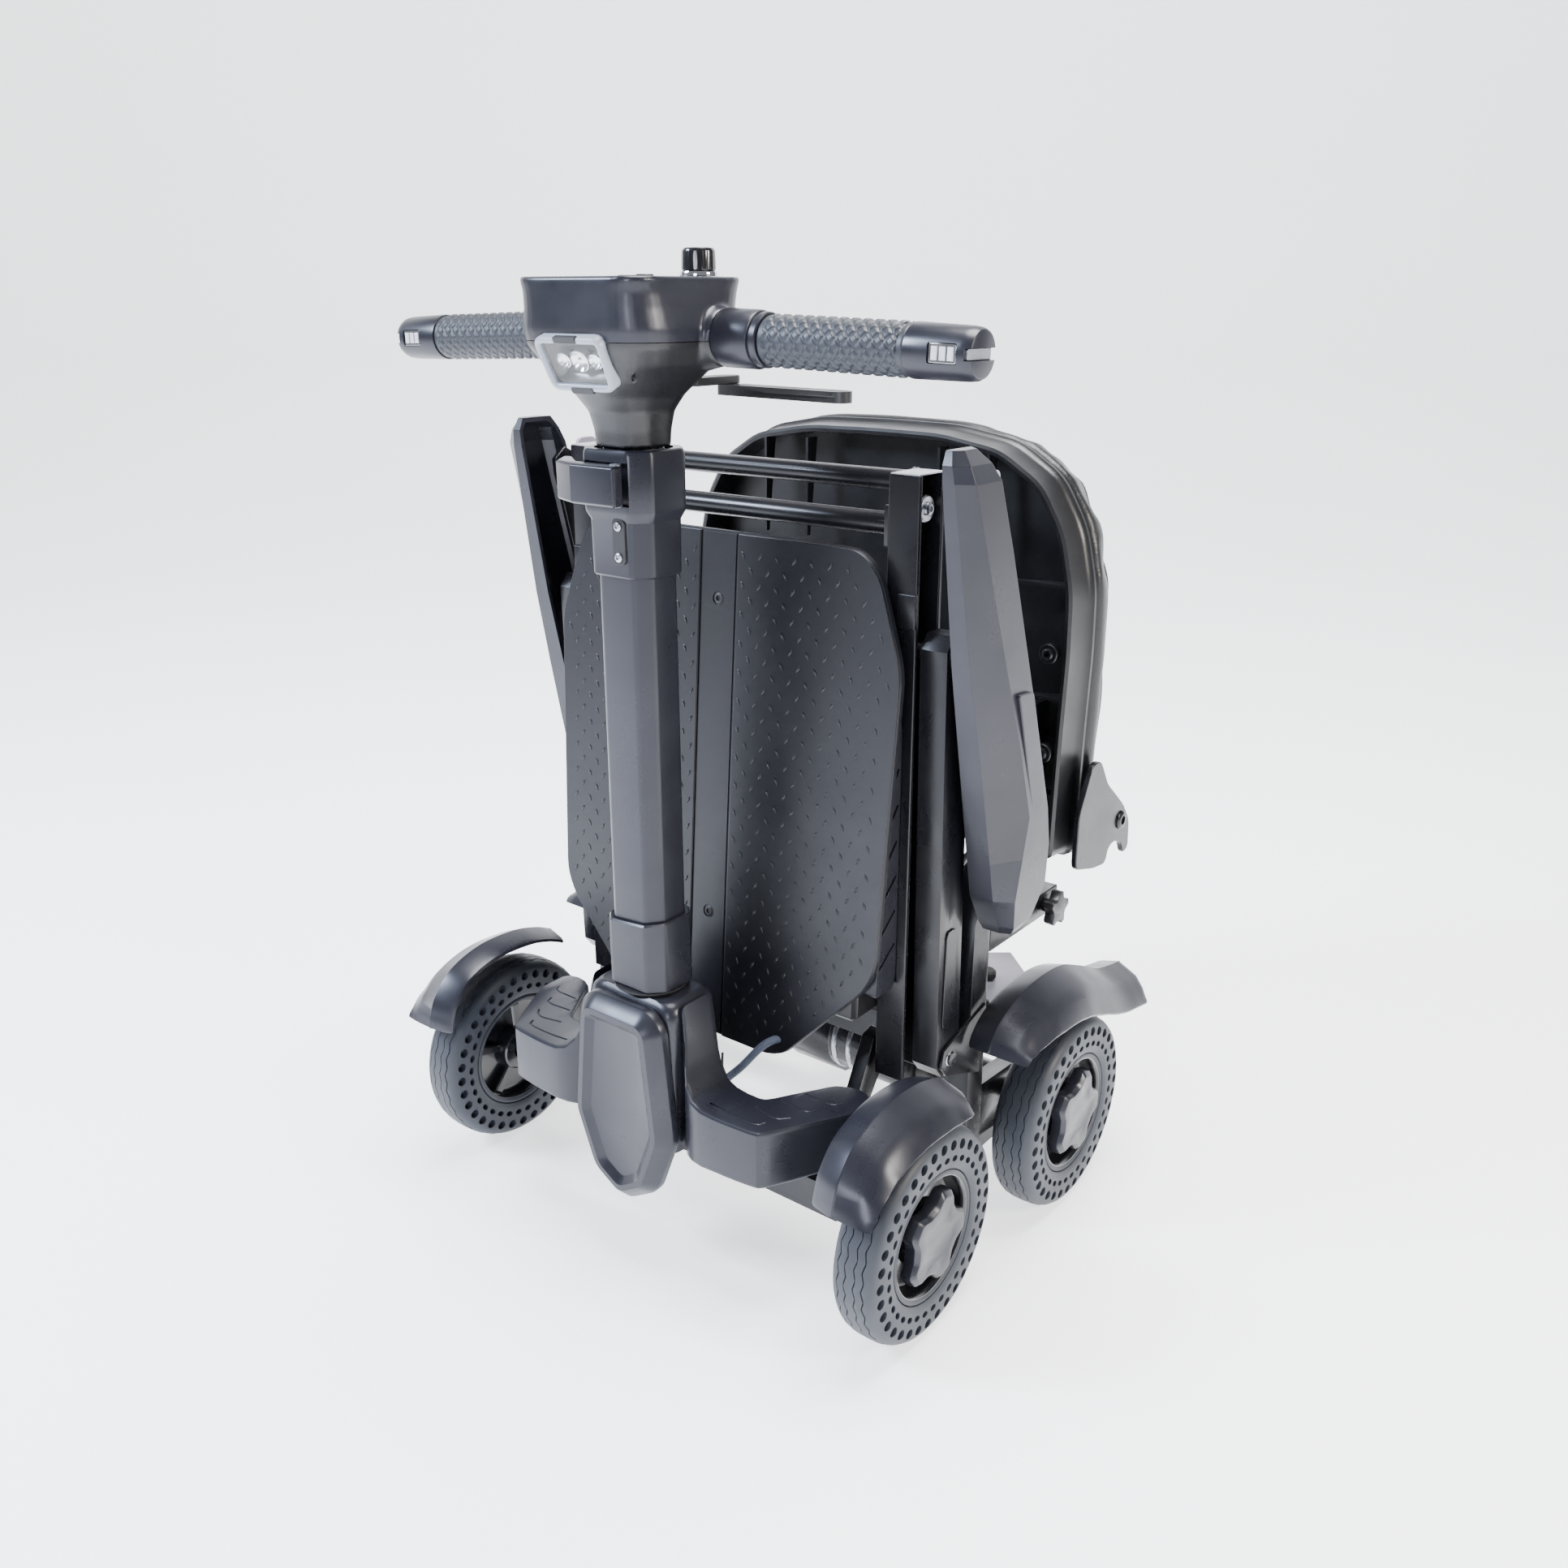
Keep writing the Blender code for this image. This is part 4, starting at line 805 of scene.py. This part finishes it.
def build_bars():
    refine("handlebar", 0.0, angle=30)
    pair("grip_sleeve_", on_bar(grip_mesh()), "grip_", None, True, angle=60)
    collar = spindle("x", mm(((69.4, 17.8), (70, 18.9), (71.2, 19.4), (98.5, 19.2), (100, 18.6),
        (100.5, 17.2), (101.8, 17.2), (102.4, 18.2), (106, 18), (106.8, 17.2))), 48)
    pair("grip_collar_", on_bar(collar), "grip_", "charcoal_plastic", angle=30)
    end = spindle("x", mm(((221.3, 16), (221.8, 17), (223, 17.2), (262, 16.4), (267, 15.8), (269.2, 14.7),
        (269.9, 13))), 56)
    slot = prism("x", rectangle(-0.02, 0.02, -0.0036, 0.0036), 0.2652, 0.272)
    window = prism("y", round_rect(0.2395, 0.26, -0.0062, 0.0062, 0.0012, 3), -0.02, -0.0128)
    pair("grip_end_", on_bar(carve(end, slot, window)), "grip_", "charcoal_plastic", angle=30)
    lens = prism("y", round_rect(0.24, 0.2595, -0.0057, 0.0057, 0.0012, 3), -0.0152, -0.0126)
    pair("grip_lamp_", on_bar(lens), "grip_", "chrome", edge=0.0005)
    chips = joined(*[prism("y", rectangle(x, x + 0.0042, -0.004, 0.004), -0.0156, -0.015)
        for x in (0.242, 0.2478, 0.2536)])
    pair("grip_chips_", on_bar(chips), "grip_", "led", edge=0.0002)
    core = prism("x", round_rect(-0.0135, 0.0135, -0.0033, 0.0033, 0.001, 3), 0.264, 0.2665)
    pair("grip_slot_", on_bar(core), "grip_", "steel", edge=0.0004)
    lever = fillet(mm([(22, 24), (34, 22), (142, 6), (149, 10), (149, 18), (142, 24), (34, 40), (22, 36)]),
        0.004, 4)
    body = prism("z", lever, 0.7012, 0.7088)
    grooves = [sweep([(0.04, y0, 0.709), (0.15, y1, 0.709)], 0.001, 8)
        for y0, y1 in ((0.027, 0.012), (0.033, 0.018))]
    grooves.append(sweep(mm([(40, 19.6, 705), (143, 5.2, 705)]), 0.0012, 8))
    piece("throttle_blade", carve(body, joined(*grooves)), "throttle_lever", None, True, edge=0.0012,
        segments=2)
    arm = fillet(mm([(18, -16), (38, -16), (37, 34), (31, 40), (25, 40), (19, 34)]), 0.004, 4)
    piece("throttle_arm", prism("z", arm, 0.7092, 0.715), "console_lower", "black_plastic", edge=0.001)
    x, y, z = 0.034, -0.006, 0.7818
    rings = []
    for h, r, depth in ((0.004, 0.0112, 0.0), (0.0046, 0.0119, 0.0), (0.005, 0.012, 1.0),
            (0.0165, 0.0116, 1.0), (0.0172, 0.0114, 0.0), (0.0186, 0.0104, 0.0), (0.0189, 0.0095, 0.0),
            (0.0182, 0.008, 0.0)):
        rings.append([(x + (r - 0.0003 * depth * (k % 4 == 0)) * math.cos(TAU * k / 96),
            y + (r - 0.0003 * depth * (k % 4 == 0)) * math.sin(TAU * k / 96), z + h) for k in range(96)])
    piece("speed_knob_body", tube_of(rings), "speed_knob", None, True, angle=35)
    ring = lathe("z", [(z + 0.0004, 0.01), (z + 0.0004, 0.0134), (z + 0.0022, 0.0136), (z + 0.0036, 0.013),
        (z + 0.004, 0.011), (z + 0.004, 0.01)], x, y, 64)
    piece("speed_knob_ring", ring, "speed_knob", "chrome", angle=30)


# ---- deck and rails
def lean_at(z):
    """How far back the folded deck leans at a height."""
    return 0.0075 + 0.0713 * (z - 0.597)


def lean(bm):
    for vert in bm.verts:
        vert.co.y += lean_at(vert.co.z)
    return bm


def deck_back(z):
    """The back face of the leaning deck at a height."""
    return 0.0526 + lean_at(z)


def deck_outline():
    half = mm([(68, 172), (86, 178), (160, 256), (169.5, 276), (175.5, 511), (152, 579), (134, 596),
        (90, 597)])
    return fillet(half + [(-x, z) for x, z in reversed(half)], 0.014, 4)


def inside(point, outline):
    """Whether a point is inside an outline."""
    x, z = point
    found = False
    for i, (ax, az) in enumerate(outline):
        bx, bz = outline[i - 1]
        if (az > z) != (bz > z) and x < (bx - ax) * (z - az) / (bz - az) + ax:
            found = not found
    return found


def build_deck():
    outline = deck_outline()
    base = loft("y", [(inset(outline, 0.0012), 0.0456), (outline, 0.0468), (outline, 0.0508),
        (inset(outline, 0.001), 0.052)])
    piece("deck_base", lean(base), "deck_plate", None, True, angle=30)
    strip = prism("y", rectangle(-0.0168, 0.0168, 0.174, 0.5955), 0.0448, 0.0465)
    screws = (0.544, 0.281)
    strip = carve(strip, *[rod("y", 0.0, z, 0.0056, 0.044, 0.0456, 0.0002) for z in screws])
    piece("deck_strip", lean(strip), "deck_plate", edge=0.0005)
    heads = joined(*[bolt(0.0, 0.0462, z, "-y", 0.0046, 0.0016) for z in screws])
    piece("deck_screws", lean(heads), "deck_plate", "soft_black")
    panel = prism("y", inset(outline, 0.0006), 0.044, 0.0462)
    pair("deck_tread_", lean(bisected(panel, (0.019, 0, 0), (1, 0, 0), True)), "deck_plate", edge=0.0014)
    border = inset(outline, 0.01)
    studs = bmesh.new()
    for row in range(36):
        z = 0.178 + row * 0.0115
        for column in range(-12, 13):
            x = (column + 0.5 * (row % 2)) * 0.0165
            if abs(x) < 0.024 or not inside((x, z), border):
                continue
            turn = math.radians(62 if (row + column) % 2 else 118)
            ring = []
            for u, v in mm(((4.2, 0), (1, 1.3), (-1.2, 1), (-4.2, 0), (-1.2, -1), (1, -1.3))):
                ring.append((x + u * math.cos(turn) - v * math.sin(turn),
                    z + u * math.sin(turn) + v * math.cos(turn)))
            low = [studs.verts.new((a, 0.0442, b)) for a, b in ring]
            high = [studs.verts.new((x + (a - x) * 0.6, 0.0434, z + (b - z) * 0.6)) for a, b in ring]
            bridge(studs, [low, high])
            studs.faces.new(low)
            studs.faces.new(high)
    piece("deck_studs", lean(studs), "deck_plate", angle=60)


def build_battery():
    ribs = [prism("y", round_rect(-0.118, 0.118, z, z + 0.008, 0.003, 3), 0.0946, 0.1)
        for z in np.arange(0.245, 0.485, 0.02)]
    body = carve(node_mesh("battery_case"), joined(*ribs))
    piece("battery_shell", body, "battery_case", None, True, edge=0.0007, segments=2)
    vents, slots = [], []
    for k in range(7):
        y, z = 0.073 - 0.0012 * k, 0.462 - 0.03 * k
        line = [(y - 0.006, z - 0.009), (y - 0.004, z - 0.011), (y + 0.006, z + 0.009),
            (y + 0.004, z + 0.011)]
        vents.append(prism("x", fillet(line, 0.0008, 2), 0.1478, 0.1486))
        z = 0.455 - 0.029 * k
        y0, y1 = deck_back(z) + 0.0016, 0.0615
        line = [(y0, z - 0.007), (y0 + 0.0022, z - 0.0086), (y1, z + 0.007), (y1 - 0.0022, z + 0.0086)]
        slots.append(prism("x", fillet(line, 0.0008, 2), 0.1625, 0.17))
    pair("battery_vents_", joined(*vents), "battery_case", "soft_black")
    wedge = [(deck_back(0.49), 0.49), (0.06, 0.476), (0.0632, 0.462), (0.0632, 0.262), (0.06, 0.25),
        (deck_back(0.25), 0.25)]
    skirt = carve(prism("x", fillet(wedge, 0.003, 3), 0.15, 0.1668), joined(*slots))
    pair("battery_skirt_", skirt, "battery_case", "charcoal_plastic", edge=0.0006, segments=2)


def ring_bead(x, y, z, radius, seed):
    """A weld bead round a tube along X, uneven by the seed."""
    thick, steps = 0.0021, 48
    rings = []
    for k in range(steps):
        angle = TAU * k / steps
        centre = radius + (0.0004 * math.sin(angle * 14 + seed) + 0.0003 * math.sin(angle * 5 + 2 * seed))
        rings.append([(x + across, y + (centre + up) * math.cos(angle), z + (centre + up) * math.sin(angle))
            for across, up in circle(0, 0, thick, 8)])
    return tube_of(rings, closed=True)


def build_floor_frame():
    welds = ((0.081, 0.612, 0.0092, 1.0), (0.1063, 0.64, 0.0086, 2.4))
    for name, side in SIDES:
        beads = joined(*[flip(ring_bead(0.144, *weld), side) for weld in welds])
        piece("weld_beads_" + name, beads, "side_rail_" + name, "steel" if side < 0 else "frame_black",
            angle=60)
    rail = "side_rail_"
    refine(rail, 0.001)
    refine("main_pivot_pin_", 0.0008)
    cap = prism("z", round_rect(0.1496, 0.1746, 0.0636, 0.0984, 0.002, 3), 0.6501, 0.651)
    pair("rail_cap_", cap, rail, "steel", edge=0.0003)
    roller = joined(rod("x", 0.083, 0.625, 0.01, 0.156, 0.17, 0.0012),
        bolt(0.17, 0.083, 0.625, "x", 0.005, 0.003))
    pair("rail_roller_", roller, rail, "steel")
    bracket = prism("x", round_rect(0.062, 0.066, 0.54, 0.566, 0.001, 2), 0.16, 0.1752)
    pair("rail_bracket_", bracket, rail, "frame_black", edge=0.0006)
    pair("pivot_washer_", rod("x", 0.084, 0.52, 0.0095, 0.1752, 0.1772, 0.0004), rail, "black_plastic")
    gusset = mm([(64, 596.5), (98, 596.5), (98, 648), (90, 648), (76, 628), (64, 628)])
    plate = prism("x", fillet(gusset, 0.003, 3), 0.1452, 0.1489)
    pair("rail_gusset_", plate, rail, "frame_black", edge=0.0006)
    refine("lower_cross_tube", 0.0, angle=40)
    refine("upper_cross_tube", 0.0, angle=40)
    build_deck()
    build_battery()


def build_legs():
    refine("rear_leg_", 0.0016)
    heads = joined(bolt(0.2012, 0.084, 0.52, "x", 0.0078, 0.003), bolt(0.2012, 0.092, 0.185, "x", 0.0078,
        0.003))
    pair("leg_bolts_", heads, "rear_leg_", "steel")
    pad = fillet(mm([(80, 215), (98, 215), (96, 300), (82, 300)]), 0.006)
    pair("leg_pad_", prism("x", pad, 0.2003, 0.2018), "rear_leg_", "frame_black", edge=0.0006)


# ---- side covers
# Rows of z, front y, crease y, back y, front x, outer x
COVER = mm([(290, 125, 129, 150, 224, 232), (300, 117, 120, 157, 227, 239), (327, 102, 111, 169, 229, 243.5),
    (360, 94.5, 119, 171.5, 229, 243.5), (392, 87.5, 127.5, 166.5, 228.5, 243),
    (450, 75, 110, 149, 227, 241.5), (520, 60, 86, 128, 224, 238.5), (600, 47, 60, 105, 220.5, 234.5),
    (650, 39, 46, 90, 218, 231), (662, 38, 45.5, 83, 216.5, 226.5), (672, 42, 49, 74, 214, 219)])


def build_covers():
    base = 0.2085
    outer, inner = [], []
    for z, front, crease, back, x_front, x_out in COVER:
        outer.append([(base, front, z), (x_front, front, z), (x_out, crease, z),
            (x_out - 0.0004, back - 0.009, z), (x_out - 0.01, back, z), (base, back, z)])
        height = min(max(z, 0.294), 0.668)
        inner.append([(base - 0.004, front + 0.0035, height), (x_front - 0.003, front + 0.0035, height),
            (x_out - 0.0035, crease + 0.002, height), (x_out - 0.004, back - 0.011, height),
            (x_out - 0.012, back - 0.004, height), (base - 0.004, back - 0.004, height)])
    pair("side_cover_shell_", carve(tube_of(outer), tube_of(inner)), "side_cover_", None, True, edge=0.0014,
        angle=12)
    lozenge = fillet(mm([(101, 495), (123, 493), (134, 460), (151, 404), (148, 394), (133, 393), (125, 418)]),
        0.004)
    pair("side_reflector_", prism("x", lozenge, 0.239, 0.2428), "side_cover_", edge=0.001)
    refine("side_link_", 0.001)
    pair("seat_pivot_bolt_", bolt(0.208, 0.162, 0.317, "x", 0.008, 0.003), "side_link_", "steel")
    tab = fillet(mm([(88, 600), (108, 560), (122, 560), (122, 652), (100, 652)]), 0.006)
    pair("link_tab_", prism("x", tab, 0.203, 0.2062), "side_link_", "plate_grey", edge=0.0008)


# ---- seat
SEAT_HALF = mm([(0, 665), (70, 664), (130, 654), (172, 628), (196, 588), (207, 540), (208, 485), (206, 420),
    (205, 360), (204, 299)])
CLOTH_FRAMES = 18
BACK_HALF = mm([(0, 648), (70, 645), (125, 626), (156, 590), (172, 520), (178, 420), (172, 335), (150, 314)])


def whole(half, scale=1.0):
    """A symmetric outline from its right half."""
    left = [(-x, z) for x, z in reversed(half) if x > 0]
    return [(x * scale, SEAT_MID + (z - SEAT_MID) * scale) for x, z in half + left]


def stuffed(name, levels, half, of, pin_y, push, pressure, cap):
    """A cushion: cloth blown up from inside by up to cap, held where it meets its base."""
    body = loft("y", [(fillet(whole(half, scale), 0.012, 3), y) for y, scale in levels])
    obj = to_object(name, body, "vinyl_black")
    voxels = obj.modifiers.new("voxels", "REMESH")
    voxels.mode = "VOXEL"
    voxels.voxel_size = 0.0055
    apply_all(obj)
    held = obj.vertex_groups.new(name="held")
    held.add([v.index for v in obj.data.vertices if (v.co.y - SHIFT.y - pin_y) * push < 0], 1.0, "REPLACE")
    rest = np.array([v.co[:] for v in obj.data.vertices])
    cloth = obj.modifiers.new("cloth", "CLOTH")
    cloth.settings.quality = 6
    cloth.settings.mass = 0.15
    cloth.settings.tension_stiffness = cloth.settings.compression_stiffness = 12
    cloth.settings.bending_stiffness = 0.8
    cloth.settings.use_pressure = True
    cloth.settings.uniform_pressure_force = pressure
    cloth.settings.effector_weights.gravity = 0
    cloth.settings.vertex_group_mass = "held"
    scene = bpy.context.scene
    for frame_number in range(1, CLOTH_FRAMES + 1):
        scene.frame_set(frame_number)
    blown = obj.evaluated_get(bpy.context.evaluated_depsgraph_get()).to_mesh()
    moved = np.array([v.co[:] for v in blown.vertices]) - rest
    obj.modifiers.clear()
    scene.frame_set(1)
    length = np.linalg.norm(moved, axis=1, keepdims=True)
    moved *= np.minimum(1, cap / np.maximum(length, 1e-9))
    for vert, place in zip(obj.data.vertices, rest + moved):
        vert.co = place
    smooth = obj.modifiers.new("smooth", "SMOOTH")
    smooth.factor, smooth.iterations = 0.5, 10
    divided = obj.modifiers.new("divided", "SUBSURF")
    divided.levels = divided.render_levels = 1
    apply_all(obj)
    obj.data.shade_smooth()
    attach(obj, BODY[of])
    replace(of)
    return obj


def build_seat():
    outline = fillet(whole(SEAT_HALF), 0.014, 4)
    rim = [(inset(outline, -0.001), 0.2895), (inset(outline, -0.001), 0.2862),
        (inset(outline, 0.0015), 0.2846), (inset(outline, 0.0032), 0.28), (inset(outline, 0.0044), 0.257),
        (inset(outline, 0.007), 0.2552), (inset(outline, 0.01), 0.2556), (inset(outline, 0.011), 0.26),
        (inset(outline, 0.012), 0.284)]
    pan = loft("y", rim)
    arm = fillet(mm([(296, 390), (313, 364), (349, 335), (364, 316), (366.4, 288), (356, 284), (350, 298),
        (335, 303), (324, 300), (320, 286), (294.8, 289), (260, 299), (260, 350), (280, 390)]), 0.007, 4)
    pair("seat_ear_", prism("x", arm, 0.216, 0.2212), "seat_arm_", edge=0.0012)
    refine("seat_arm_", 0.0012)
    pair("seat_ear_bolt_", bolt(0.2212, 0.344, 0.321, "x", 0.0085, 0.003), "seat_arm_", "frame_black")
    piece("seat_pan_shell", pan, "seat_pan", None, True, angle=40)
    ribs = []
    for z, x in mm(((362, 172), (448, 158), (544, 146))):
        for side in (1, -1):
            ribs.append(flip(prism("z", [(x, 0.2558), (0.1975, 0.2558), (0.1985, 0.276), (x, 0.26)],
                z - 0.0012, z + 0.0012), side))
    for x in (-0.118, -0.07, 0.07, 0.118):
        ribs.append(prism("x", mm([(255.8, 560), (255.8, 648), (270, 648), (260, 560)]), x - 0.0012,
            x + 0.0012))
    piece("seat_pan_ribs", joined(*ribs), "seat_pan")
    places = [(x, z) for x in (-0.185, 0.185) for z in (0.4, 0.487)]
    bosses = joined(*[rod("y", x, z, 0.0085, 0.253, 0.26, 0.0006) for x, z in places])
    piece("seat_pan_bosses", bosses, "seat_pan")
    screws = joined(*[bolt(x, 0.253, z, "-y", 0.005, 0.0022) for x, z in places])
    piece("seat_pan_screws", screws, "seat_pan", "frame_black")
    levels = [(0.29, 0.995), (0.294, 1.015), (0.306, 1.03), (0.322, 1.025), (0.333, 1.0), (0.338, 0.95)]
    seat = stuffed("seat_cushion_cover", levels, SEAT_HALF, "seat_cushion", 0.2975, 1, 3.0, 0.012)
    follow(seat, "seat_piping", "seat_cushion", fillet(whole(SEAT_HALF), 0.014, 6), 0.329, 0.0018)


def follow(cushion, name, of, outline, y, radius):
    """Piping laid round a cushion on its skin at one level."""
    evaluated = cushion.evaluated_get(bpy.context.evaluated_depsgraph_get())
    line = []
    for i in range(len(outline)):
        a, b = Vector(outline[i - 1]), Vector(outline[i])
        steps = max(1, int((b - a).length / 0.006))
        for k in range(steps):
            p = a.lerp(b, k / steps)
            out = Vector((p.x, 0, p.y - SEAT_MID)).normalized()
            hit, place, _, _ = evaluated.ray_cast(Vector((p.x, y, p.y)) + SHIFT + out * 0.04, -out)
            if hit:
                line.append(place - SHIFT)
    rings = []
    for i, p in enumerate(line):
        ahead = (line[(i + 1) % len(line)] - line[i - 1]).normalized()
        across = ahead.cross(Vector((0, 1, 0))).normalized()
        rise = across.cross(ahead).normalized()
        rings.append([p + across * u + rise * v for u, v in circle(0, 0, radius, 10)])
    piece(name, tube_of(rings, closed=True), of, "vinyl_black", angle=60)


def build_back():
    outline = fillet(whole(BACK_HALF), 0.014, 4)
    shell = loft("y", [(inset(outline, 0.003), 0.3728), (outline, 0.3755), (outline, 0.38),
        (inset(outline, 0.004), 0.3838), (inset(outline, 0.01), 0.3858)])
    shell = carve(shell, prism("y", round_rect(-0.09, 0.09, 0.42, 0.56, 0.02, 4), 0.3846, 0.39))
    piece("backrest_cover", shell, "backrest_shell", None, True, edge=0.001, angle=35)
    levels = [(0.3715, 0.985), (0.367, 1.0), (0.358, 1.0), (0.352, 0.985), (0.349, 0.955)]
    stuffed("backrest_cushion_cover", levels, BACK_HALF, "backrest_cushion", 0.369, -1, 2.2, 0.0045)


# ---- rear and front ends
def fins(x0, x1, y0, y1, low, high, pitch, thick):
    """Upright cooling fins along X on a box."""
    return joined(*[prism("x", rectangle(y0, y1, low, high), x, x + thick) for x in np.arange(x0, x1, pitch)])


def build_rear():
    piece("controller_fins", fins(-0.104, -0.008, 0.153, 0.176, 0.117, 0.1195, 0.006, 0.0022),
        "controller_box", "steel")
    lead = smooth_line(mm([(4, 164, 140), (18, 166, 142), (28, 172, 134), (36.5, 176, 126)]), 6)
    piece("motor_lead", sweep(lead, 0.0034, 12), "controller_box", "cable_sleeve")
    bands = joined(*[lathe("x", [(x, 0.0316), (x + 0.0012, 0.0326), (x + 0.004, 0.0326),
        (x + 0.0052, 0.0316)], 0.176, 0.118, 48) for x in (0.046, 0.062, 0.118)])
    piece("motor_bands", bands, "drive_motor", "steel", angle=30)
    nuts = joined(*[bolt(0.02, y, z, "x", 0.0042, 0.003) for y, z in circle(0.225, WHEEL_R, 0.033, 6, 0.4)])
    piece("gearbox_bolts", nuts, "rear_axle_housing", "steel")
    bumper = joined(rod("z", 0.16, 0.225, 0.0075, 0.19, 0.199, 0.002),
        bolt(0.136, 0.236, 0.19, "z", 0.0062, 0.004), bolt(0.182, 0.18, 0.19, "z", 0.0055, 0.004))
    piece("plate_bumper", bumper, "rear_plate", "soft_black")
    piece("knob_screw", bolt(0.1995, 0.244, 0.267, "x", 0.003, 0.0016), "star_knob", "steel")


def build_front():
    cable = smooth_line(mm([(42, -6, 149), (47.3, 0, 154.7), (55.3, 6, 164), (70, 15, 184), (80, 24, 190),
        (88, 34, 185)]), 8)
    piece("front_cable_braid", sweep(cable, 0.0034, 14), "front_cable", None, True, angle=60)
    tie = joined(sweep(mm([(44, -4, 154), (40, -2, 163), (37.2, 2, 172)]), 0.0011, 6),
        sweep(mm([(46, -3, 149), (40, 4, 147), (30, 10, 152)]), 0.0011, 6))
    piece("cable_tie", tie, "front_cable", "soft_black")
    for name, side in SIDES:
        for wheel in ("front", "rear"):
            tyre = f"{wheel}_{name}_tyre"
            low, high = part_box(tyre)
            x, y = (low.x + high.x) / 2, (low.y + high.y) / 2 - SHIFT.y
            for face in (1, -1):
                profile = [(x + face * s, r) for s, r in BEAD]
                place = "outer" if face == side else "inner"
                piece(f"{wheel}_bead_{name}_{place}", lathe("x", profile, y, WHEEL_R, 72), tyre,
                    "tyre_rubber", angle=40)


def refine_rest():
    """Every CAD node that still shows gets soft edges."""
    for node in sorted(frame["nodes"]):
        if node not in REPLACED:
            refine(node, 0.001, segments=2)


# ---- studio
def build_studio():
    sweep_line = [(-6.0, 0.0), (3.0, 0.0), (3.8, 0.12), (4.5, 0.5), (4.9, 1.2), (5.0, 2.0), (5.0, 6.0)]
    floor = bmesh.new()
    loops = [[floor.verts.new((x, y, z)) for x in (-9.0, 9.0)] for y, z in sweep_line]
    for near, far in zip(loops, loops[1:]):
        floor.faces.new((near[0], near[1], far[1], far[0]))
    turned(floor, Matrix.Rotation(math.radians(38), 4, "Z"))
    ground = to_object("floor", floor, "floor")
    ground.data.shade_smooth()
    for name, place, size, power, colour, aim in (("key", (-1.5, -1.7, 2.0), 0.9, 150, (0.72, 0.82, 1.0),
            (0, 0, 0.35)), ("side", (2.5, 0.3, 1.5), 0.8, 75, (1.0, 0.94, 0.84), (0, 0.1, 0.35)),
            ("top", (0.2, 0.2, 3.2), 1.8, 240, (1.0, 1.0, 1.0), (0, 0, 0.3)),
            ("front", (0.9, -2.6, 1.0), 0.8, 26, (0.85, 0.9, 1.0), (0, 0, 0.35))):
        lamp = bpy.data.lights.new(name, "AREA")
        lamp.shape = "DISK"
        lamp.size = size
        lamp.energy = power
        lamp.color = colour
        made = bpy.data.objects.new(name, lamp)
        made.location = Vector(place)
        made.rotation_euler = (Vector(aim) - made.location).to_track_quat("-Z", "Y").to_euler()
        bpy.context.scene.collection.objects.link(made)
    world = bpy.data.worlds.new("studio")
    world.use_nodes = True
    world.node_tree.nodes["Background"].inputs["Color"].default_value = (0.9, 0.93, 1.0, 1)
    world.node_tree.nodes["Background"].inputs["Strength"].default_value = 0.25
    bpy.context.scene.world = world
    view = bpy.data.cameras.new("photo_view")
    view.lens = 32.31
    view.sensor_width = 36
    camera = bpy.data.objects.new("photo_view", view)
    camera.location = Vector((0.7167, -0.7826, 0.7712)) + SHIFT
    camera.rotation_euler = (math.radians(70.77), 0, math.radians(38.06))
    bpy.context.scene.collection.objects.link(camera)
    bpy.context.scene.camera = camera


MAT["floor"] = surface("studio_floor", (0.86, 0.87, 0.89), 0.6, mottle=0.01, patch=2.0, grain=300.0,
    bump=0.01)
GLOW = MAT["floor"].node_tree.nodes["Principled BSDF"]
GLOW.inputs["Emission Color"].default_value = (0.97, 0.98, 1.0, 1)
GLOW.inputs["Emission Strength"].default_value = 1.5
build_wheels()
build_fenders()
build_wings()
build_head()
build_column()
build_console()
build_bars()
build_floor_frame()
build_legs()
build_covers()
build_seat()
build_back()
build_rear()
build_front()
refine_rest()
build_studio()
